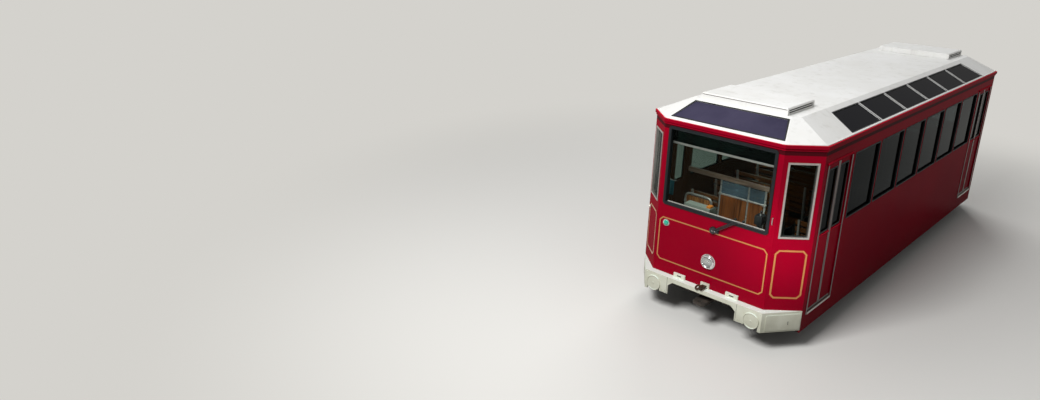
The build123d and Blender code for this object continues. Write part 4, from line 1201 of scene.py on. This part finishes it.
class FUNICULAR_OT_end_fittings(Operator):
    """Fittings on the ends: disc rims, plate slots, bolts, shackles, grab handles and corner lamps"""

    bl_idname = "funicular.end_fittings"
    bl_label = "End fittings"

    disc_middle = (0.796, 0.440)
    disc_radius = 0.118
    skirt_out, disc_out, plate_out = 0.110, 0.118, 0.024  # how far each stands out from the nose
    plate_middle = (0.426, 0.643)
    plate_bolt = 0.072  # from the middle of a plate to its bolts
    skirt_bolts = ((0.600, 0.585), (0.680, 0.585), (0.600, 0.375), (0.920, 0.585))  # across and height
    handle = (0.862, 1.843, 1.941)  # across, foot and top
    handle_out = 0.016
    corner_lamp = (0.185, 1.439)  # outward of the corner's middle, and height
    seam = (0.566, 0.476)  # middle of the joint between the ledge and the cowl
    corner_foot, corner_head = 0.336, 0.571
    shackle_reach, shackle_half = 0.085, 0.026

    def execute(self, context):
        enamel, slots, iron, metal, white = meshes(5)
        for end in ENDS.values():
            place = nose(end)
            for side in SIDES.values():
                self.dress_skirt(enamel, slots, place, side)
                self.add_corner_plate(enamel, slots, side, end)
            x, foot, top = self.handle
            out = self.handle_out
            grip = [(x, foot, 0.0), (x, foot + 0.006, out), (x, top - 0.006, out), (x, top, 0.0)]
            tube(metal, place, bend(grip, 0.010), 0.0055, count=8)
            self.add_shackle(iron, end)
            across, height = self.corner_lamp
            corner = shift(chamfer(end, end), -across, height)
            stud(metal, corner, LIFT, 0.012, 0.027, 0.023, 0.010, 24)
            lathe(white, corner, dome(0.022, 0.012, 0.018, 6), 24)
        piece("skirt_fittings", enamel, skirt_enamel())
        piece("plate_slots", slots, black_lacquer())
        piece("tow_shackles", iron, forged_iron())
        piece("end_metal", metal, brushed_aluminium())
        piece("corner_lamps", white, ivory_plastic())
        return {"FINISHED"}

    def dress_skirt(self, mesh, dark, place, side):
        """The disc's rim, the ledge plate's slot and bolts, and the seam and bolts of the cowl."""
        bolt, rim = sizes().bolt_radius, sizes().disc_rim
        x, z = self.disc_middle
        disc = shift(place, side * x, z, self.disc_out)
        circle = [(x, y, 0) for x, y in around(48, self.disc_radius - rim)]
        tube(mesh, disc, circle, rim, count=8, closed=True)
        stud(mesh, disc, LIFT, 0.008, 0.016, 0.010, 0.005)
        x, z = self.plate_middle
        block(dark, place, *about(side * x, z, 0.034, 0.008), self.plate_out + LIFT, self.plate_out + 0.001)
        heads = [(side * x + step, z, self.plate_out, 6) for step in (-self.plate_bolt, self.plate_bolt)]
        heads += [(side * x, z, self.skirt_out, 12) for x, z in self.skirt_bolts]
        for x, z, out, count in heads:
            stud(mesh, shift(place, x, z, out), LIFT, 0.006, bolt, bolt * 0.6, 0.003, count)
        x, z = self.seam
        block(dark, place, *about(side * x, z, 0.002, 0.128), self.skirt_out + LIFT, self.skirt_out + 0.0008)

    def add_corner_plate(self, mesh, dark, side, end):
        """The raised plate on a skirt's slanting side, with its small slot."""
        near = Vector((0.945, HALF_LENGTH + self.skirt_out, 0))
        far = Vector((HALF_WIDTH, SIDE_END, 0))
        middle, along = (near + far) / 2, far - near
        reach = along.length / 2
        place = panel((side * middle.x, end * middle.y, 0), (-side * along.y, end * along.x, 0))
        edges = sorted(-side * end * x for x in (0.062 - reach, reach - 0.018))
        slab(mesh, place, rounded_rectangle(*edges, self.corner_foot, self.corner_head, 0.012), LIFT, 0.005)
        block(dark, place, *about(-side * end * 0.10, 0.440, 0.004, 0.025), 0.0053, 0.006)

    def add_shackle(self, mesh, end):
        """A bow shackle in the towing bracket, turned sideways on its pin."""
        low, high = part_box("towing_brackets")
        reach, half = self.shackle_reach, self.shackle_half
        pin = Matrix.Translation((0, end * (high.y - 0.0345), (low.z + high.z) / 2))
        tube(mesh, pin, [(0, 0, -half - 0.014), (0, 0, half + 0.014)], 0.0115, count=16)
        for z in (-half, half):
            stud(mesh, pin @ panel((0, 0, z), (0, 0, 1)), -0.009, 0.009, 0.021, count=20)
        bow = [(0, 0, half)]
        for turn in [pi * step / 12 for step in range(13)]:
            out = sin(turn)
            z = (half + 0.010 * out) * cos(turn) - 0.028 * out
            bow.append((-0.035 - reach * out * 0.55, end * 0.004 * out, z))
        tube(mesh, pin, [*bow, (0, 0, -half)], 0.0135, count=12)


class FUNICULAR_OT_running_gear(Operator):
    """Bright treads and hub bolts on the wheels, covers on the axle boxes, and the brake pipes"""

    bl_idname = "funicular.running_gear"
    bl_label = "Running gear"

    tread_ends = (0.755, 0.853)  # from the car's middle
    tread_radius = 0.1852
    hub_back = 0.045  # from the axle's end to the face of the hub
    hub = [(0.036, LIFT), (0.036, 0.018), (0.030, 0.026), (0.012, 0.026), (0, 0.022)]
    cover = [
        (0.0515, 0.0004), (0.062, 0.0004), (0.062, 0.010), (0.054, 0.014), (0.0515, 0.014), (0.0515, 0.0004),
    ]
    pipe_across, pipe_end, pipe_rise = 0.36, 0.16, 0.035

    def execute(self, context):
        for end in ENDS:
            covers = bmesh.new()
            for wheels in LEAVES:
                self.dress_wheelset(f"wheelset_{end}_{wheels}", covers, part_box(f"bogie_frame_{end}")[1].x)
            piece(f"bogie_{end}_covers", covers, chassis_paint(), f"bogie_{end}")
        pipes = bmesh.new()
        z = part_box("underframe_sills")[0].z + self.pipe_rise
        for x in (-self.pipe_across, self.pipe_across):
            line = [(x, y, z) for y in (self.pipe_end - HALF_LENGTH, HALF_LENGTH - self.pipe_end)]
            tube(pipes, HERE, line, 0.013, count=12)
        piece("brake_pipes", pipes, chassis_paint())
        return {"FINISHED"}

    def dress_wheelset(self, body, covers, box_face):
        """The treads, hubs and hub bolts of one wheelset, and the covers of its axle boxes."""
        (start, stop), radius = self.tread_ends, self.tread_radius
        skin = [(radius, start), (radius - 0.003, stop)]
        tread = [*skin, *[(across - 0.009, along) for across, along in reversed(skin)], skin[0]]
        low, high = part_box(body)
        centre, face = (low + high) / 2, high.x - self.hub_back
        bright, hubs = meshes(2)
        for side in SIDES.values():
            place = panel((0, centre.y, centre.z), (side, 0, 0))
            lathe(bright, place, tread, 64)
            for x, y in around(6, 0.048):
                stud(hubs, shift(place, x, y, face), LIFT, 0.007, 0.007)
            lathe(hubs, shift(place, 0, 0, face), self.hub)
            cover = shift(place, 0, 0, box_face)
            lathe(covers, cover, self.cover)
            for x, y in around(4, 0.066, 0.5):
                stud(covers, shift(cover, x, y), 0.0004, 0.006, 0.007)
        piece(f"{body}_treads", bright, polished_steel(), body, sharp=40)
        piece(f"{body}_hubs", hubs, wheel_steel(), body)


class FUNICULAR_OT_partitions(Operator):
    """Boards, beams, rail brackets and the tubular barriers behind the vestibules"""

    bl_idname = "funicular.partitions"
    bl_label = "Partitions"

    foot = FLOOR_TOP + 0.002
    posts = (-0.636, -0.160, 0.115)
    post_radius = 0.015
    board_width, board_half = 0.088, 0.0175
    header_foot, header_half = 1.783, 0.0225
    collar = [(0.0155, -0.024), (0.022, -0.020), (0.024, 0), (0.022, 0.020), (0.0155, 0.024)]
    clip = [(0.021, -0.022), (0.026, -0.018), (0.026, 0.018), (0.021, 0.022)]
    clip_heights = (0.80, 1.30)
    # The barrier's sizes
    gap = 0.060  # towards the nose from the partition
    left, right, top = -1.218, -0.728, 1.450
    corner = 0.090
    bar_half, tube_radius = 0.014, 0.0205
    veneer = (-1.1895, -0.7565, 0.699, 1.401)
    veneer_half = 0.0115

    def execute(self, context):
        boards, beams, knobs, bars, barriers = meshes(5)
        low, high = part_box("cab_partitions")
        plane_y = high.y - self.header_half
        board_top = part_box("partition_glass")[0].z - 2 * self.post_radius
        section = cut_rectangle(-self.header_half, self.header_half, self.header_foot, high.z, 0.008)
        for end in ENDS.values():
            place = panel((0, end * plane_y, 0), (0, -1, 0))
            self.add_boards(boards, place, board_top)
            rail(beams, place, section, low.x + 0.001, high.x)
            for x, axis in product(self.posts, ((0, 0, 1), (1, 0, 0))):
                lathe(knobs, panel((x, end * plane_y, board_top + 0.015), axis), self.collar, 20)
            place = panel((0, end * (plane_y + self.gap), 0), (0, -1, 0))
            self.add_barrier(bars, barriers, knobs, place)
        piece("partition_boards", boards, partition_teak(), replaces=["cab_partitions"])
        # The barrier's boards take the paler teak, painted light
        piece("barrier_boards", barriers, painted_light_barrier_teak())
        piece("header_beams", beams, header_oak())
        piece("rail_brackets", knobs, brushed_stainless(), sharp=50)
        piece("barrier_tubes", bars, brushed_stainless(), sharp=60)
        return {"FINISHED"}

    def add_boards(self, mesh, place, top):
        """The upright boards between the posts."""
        edge, half = self.post_radius + 0.001, self.board_half
        for near, far in zip(self.posts, self.posts[1:]):
            span = far - near - 2 * edge
            count = round(span / self.board_width)
            pitch = span / count
            for x in [near + edge + number * pitch for number in range(count)]:
                outline = cut_rectangle(x + 0.0006, x + pitch - 0.0006, -half, half, 0.003)
                loft(mesh, place, [[(x, z, y) for x, y in outline] for z in (self.foot, top)])

    def add_barrier(self, bars, boards, clips, place):
        """The hoop, boards and clips of one barrier."""
        left, right, top = self.left + self.bar_half, self.right - self.bar_half, self.top - self.bar_half
        hoop = [(left, self.foot, 0), (left, top, 0), (right, top, 0), (right, self.foot, 0)]
        tube(bars, place, bend(hoop, self.corner, steps=10), self.tube_radius, count=16)
        block(boards, place, *self.veneer, -self.veneer_half, self.veneer_half)
        for x, z in product((left, right), self.clip_heights):
            lathe(clips, place @ panel((x, z, 0), (0, 1, 0)), self.clip, 20)


class FUNICULAR_OT_cab(Operator):
    """Dials, levers and a controller on the driver's desks, and a blind beside each windscreen"""

    bl_idname = "funicular.cab"
    bl_label = "Driver's cab"

    console_middle = -0.355
    desk_top = 1.445
    desk_edge = -0.390  # the desk's inner edge lies behind the nose
    dial_radius = 0.036
    dials = (-0.12, -0.02, 0.08)
    levers = (0.20, 0.32)
    lever = ((0, 0.17), (0.12, 0.15), (0.20, 0.11))  # rise over the desk and reach from its edge
    controller = (0.533, 0.640, 1.716, 1.840)
    controller_foot = (0.563, 0.610, 1.4455, 1.716)
    blind = (-0.950, -0.885, 1.700, 1.919)
    blind_out = -0.35
    folds = 5

    def execute(self, context):
        dark, dials, metal, knobs, orange, blinds = meshes(6)
        for end in ENDS.values():
            self.add_instruments(dark, dials, orange, end)
            self.add_controls(dark, metal, knobs, nose(end))
            self.add_blind(blinds, metal, nose(end))
        piece("desk_instruments", dark, black_lacquer(), bevel=0.002)
        piece("desk_dials", dials, ivory_plastic())
        piece("desk_levers", metal, polished_steel())
        piece("lever_knobs", knobs, black_lacquer(), sharp=60)
        piece("console_lamps", orange, signal_orange(), bevel=0.004)
        piece("cab_blinds", blinds, teal_cloth(), sharp=60)
        return {"FINISHED"}

    def add_instruments(self, dark, dials, orange, end):
        """The dials on the slope of the console and the lamp on its top."""
        top, edge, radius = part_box("driver_desks")[1].z, self.desk_edge, self.dial_radius
        rim = radius + 0.006
        bezel = [(0, LIFT), (rim, LIFT), (rim, 0.010), (radius, 0.012), (radius, 0.006), (0, 0.006)]
        console = shift(nose(end), self.console_middle, 0)
        slope = panel(console @ Vector((0, top - 0.045, edge + 0.045)), (0, -end, 1))
        for x in self.dials:
            lathe(dark, shift(slope, x, 0), bezel)
            stud(dials, shift(slope, x, 0), 0.0065, 0.0075, radius - 0.001, count=32)
        block(orange, console, 0.130, 0.195, top + 0.0005, top + 0.030, edge + 0.11, edge + 0.20)

    def add_controls(self, dark, metal, knobs, place):
        """The levers, and the controller on its foot."""
        edge = self.desk_edge
        for x in self.levers:
            path = [(x, self.desk_top + rise, edge + reach) for rise, reach in self.lever]
            tube(metal, place, path, 0.008, count=12)
            ball(knobs, place @ Vector(path[-1]), 0.021)
        block(dark, place, *self.controller, edge + 0.10, edge + 0.24)
        block(dark, place, *self.controller_foot, edge + 0.13, edge + 0.21)
        head = self.controller[3]
        stem = [(0.57, head, edge + 0.14), (0.57, head + 0.035, edge + 0.13)]
        tube(metal, place, stem, 0.006)
        ball(knobs, place @ Vector(stem[-1]), 0.019)

    def add_blind(self, blinds, metal, place):
        """A folded blind, and the rod that it hangs on."""
        left, right, foot, head = self.blind
        for number in range(self.folds):
            x = left + (right - left) * (number + 0.5) / self.folds
            out = self.blind_out + 0.006 * (number % 2)
            tube(blinds, place, [(x, foot, out), (x, head, out)], 0.009)
        rod = [(x, head + 0.012, self.blind_out) for x in (left - 0.03, right + 0.05)]
        tube(metal, place, rod, 0.007)


class FUNICULAR_OT_stage(Operator):
    """The pale floor, the soft lamps and the camera at the photograph's place"""

    bl_idname = "funicular.stage"
    bl_label = "Stage"

    floor_radius = 60.0
    fade = {"From Min": 5.0, "From Max": 12.0}  # where the floor fades into the backdrop
    bounce = "7C7A77"  # the floor's colour in the light that it throws back on the car
    ambient = 0.17
    mirrored = 0.25  # how bright the studio is in glossy surfaces
    aim = (0, -0.5, 1.4)
    lamps = (
        # place, side of the square and watts
        ((-1.0, -14.5, 12.5), 5.0, 2300),
        ((-6.0, 9.0, 13.0), 8.0, 950),
    )
    cabin_lamp = (1.1, 9.0)  # side of the square and watts of the light in each vestibule
    corner_lamp = (6.4, -11.8, 3.4)  # a narrow lamp turned to the corner on the camera's side
    corner_beam = (0.6, 3.2, 11.0)  # side of its square, watts and spread in degrees
    camera_place = (4.9274, -13.4361, 5.6141)
    camera_turns = (43.423, -18.251, 1.582)  # yaw, pitch and roll in degrees
    camera_lens = 26.741
    camera_shift = -0.02885

    def execute(self, context):
        self.lay_floor()
        self.set_world(context.scene)
        for number, (place, side, watts) in enumerate(self.lamps):
            self.hang_lamp(f"soft_lamp_{number + 1}", place, self.aim, side, watts)
        for name, end in ENDS.items():
            y, z = end * (HALF_LENGTH - 0.65), WALL_TOP - 0.05
            self.hang_lamp(f"cabin_lamp_{name}", (0, y, z), (0, y - end * 0.5, z - 1.0), *self.cabin_lamp)
        corner = ((HALF_NOSE + HALF_WIDTH) / 2, -HALF_LENGTH, 1.5)
        self.hang_lamp("corner_fill", self.corner_lamp, corner, *self.corner_beam)
        self.set_camera(context.scene)
        context.scene.view_settings.view_transform = "Standard"
        return {"FINISHED"}

    def hang_lamp(self, name, place, aim, side, watts, spread=180.0):
        """A square soft lamp at a place, turned to a point."""
        lamp = bpy.data.lights.new(name, "AREA")
        lamp.size = side
        lamp.energy = watts
        lamp.spread = radians(spread)
        holder = bpy.data.objects.new(name, lamp)
        holder.location = place
        holder.rotation_euler = (Vector(aim) - Vector(place)).to_track_quat("-Z", "Y").to_euler()
        bpy.context.scene.collection.objects.link(holder)

    def lay_floor(self):
        """A disc whose colour fades into the backdrop."""
        mesh = bmesh.new()
        bmesh.ops.create_circle(mesh, cap_ends=True, segments=96, radius=self.floor_radius)
        data = bpy.data.meshes.new("studio_floor")
        mesh.to_mesh(data)
        mesh.free()
        floor = bpy.data.objects.new("studio_floor", data)
        bpy.context.scene.collection.objects.link(floor)
        material = bpy.data.materials.new("studio_floor")
        material.use_nodes = True
        data.materials.append(material)
        tree = material.node_tree
        shader = tree.nodes["Principled BSDF"]
        shader.inputs["Roughness"].default_value = 0.9
        shader.inputs["Specular IOR Level"].default_value = 0.0
        bounced = {"Factor": add_node(tree, "LightPath").outputs["Is Diffuse Ray"]}
        ends = {MIX_A: colours().floor, MIX_B: linear(self.bounce)}
        pale = add_node(tree, "Mix", ends, bounced, data_type="RGBA")
        feed(shader, {"Base Color": pale.outputs[MIX_RESULT]})
        place = add_node(tree, "TexCoord").outputs["Object"]
        reach = add_node(tree, "VectorMath", feeds={0: place}, operation="LENGTH")
        far = {"Value": reach.outputs["Value"]}
        fade = add_node(tree, "MapRange", self.fade, far, interpolation_type="SMOOTHSTEP")
        glow = add_node(tree, "Emission", {"Color": colours().backdrop, "Strength": 1.0})
        blend = add_node(tree, "MixShader", feeds={0: fade, 1: shader, 2: glow})
        feed(tree.nodes["Material Output"], {"Surface": blend})

    def set_world(self, scene):
        """A world that is the floor's colour to the eye, dimmer in mirrors, and a soft sky to the rest."""
        world = bpy.data.worlds.new("studio_world")
        world.use_nodes = True
        scene.world = world
        tree = world.node_tree
        sky = tree.nodes["Background"]
        sky.inputs["Color"].default_value = linear("FFFFFF")
        sky.inputs["Strength"].default_value = self.ambient
        seen, dimmed = (
            add_node(tree, "Background", {"Color": colours().backdrop, "Strength": strength})
            for strength in (1.0, self.mirrored)
        )
        rays = add_node(tree, "LightPath").outputs
        to_eye = {0: rays["Is Camera Ray"], 1: rays["Is Transmission Ray"]}
        direct = add_node(tree, "Math", feeds=to_eye, operation="MAXIMUM")
        under = add_node(tree, "MixShader", feeds={0: rays["Is Glossy Ray"], 1: sky, 2: dimmed})
        blend = add_node(tree, "MixShader", feeds={0: direct, 1: under, 2: seen})
        feed(tree.nodes["World Output"], {"Surface": blend})

    def set_camera(self, scene):
        """The camera that took the photograph."""
        yaw, pitch, roll = (radians(turn) for turn in self.camera_turns)
        ahead = Vector((-sin(yaw) * cos(pitch), cos(yaw) * cos(pitch), sin(pitch)))
        right = Vector((cos(yaw), sin(yaw), 0))
        above = right.cross(ahead)
        across = right * cos(roll) + above * sin(roll)
        upright = above * cos(roll) - right * sin(roll)
        camera = bpy.data.cameras.new("photo_camera")
        camera.lens = self.camera_lens
        camera.sensor_width = 36.0
        camera.shift_y = self.camera_shift
        camera.clip_end = 200.0
        holder = bpy.data.objects.new("photo_camera", camera)
        turned = Matrix((across, upright, -ahead)).transposed().to_4x4()
        holder.matrix_world = Matrix.Translation(self.camera_place) @ turned
        scene.collection.objects.link(holder)
        scene.camera = holder


STEPS = (
    FUNICULAR_OT_stage,
    FUNICULAR_OT_finishes,
    FUNICULAR_OT_coach_lines,
    FUNICULAR_OT_glazing,
    FUNICULAR_OT_doors,
    FUNICULAR_OT_lamps,
    FUNICULAR_OT_roof,
    FUNICULAR_OT_roof_lights,
    FUNICULAR_OT_wipers,
    FUNICULAR_OT_end_fittings,
    FUNICULAR_OT_running_gear,
    FUNICULAR_OT_partitions,
    FUNICULAR_OT_cab,
)


class FUNICULAR_PT_sidebar(Panel):
    """Lists the steps that dress the car"""

    bl_label = "Funicular car"
    bl_idname = "FUNICULAR_PT_sidebar"
    bl_space_type = "VIEW_3D"
    bl_region_type = "UI"
    bl_category = "Funicular"

    def draw(self, context):
        for step in STEPS:
            self.layout.operator(step.bl_idname)
        for group in (context.scene.car_sizes, context.scene.car_colours):
            for key in group.__annotations__:
                self.layout.prop(group, key)


CLASSES = (CarColours, CarSizes, *STEPS, FUNICULAR_PT_sidebar)


def register():
    for cls in CLASSES:
        bpy.utils.register_class(cls)
    bpy.types.Scene.car_colours = PointerProperty(type=CarColours)
    bpy.types.Scene.car_sizes = PointerProperty(type=CarSizes)


def unregister():
    del bpy.types.Scene.car_sizes
    del bpy.types.Scene.car_colours
    for cls in reversed(CLASSES):
        bpy.utils.unregister_class(cls)


def main():
    """Dress the car."""
    register()
    for step in STEPS:
        group, name = step.bl_idname.split(".")
        getattr(getattr(bpy.ops, group), name)()


if __name__ == "__main__":
    main()
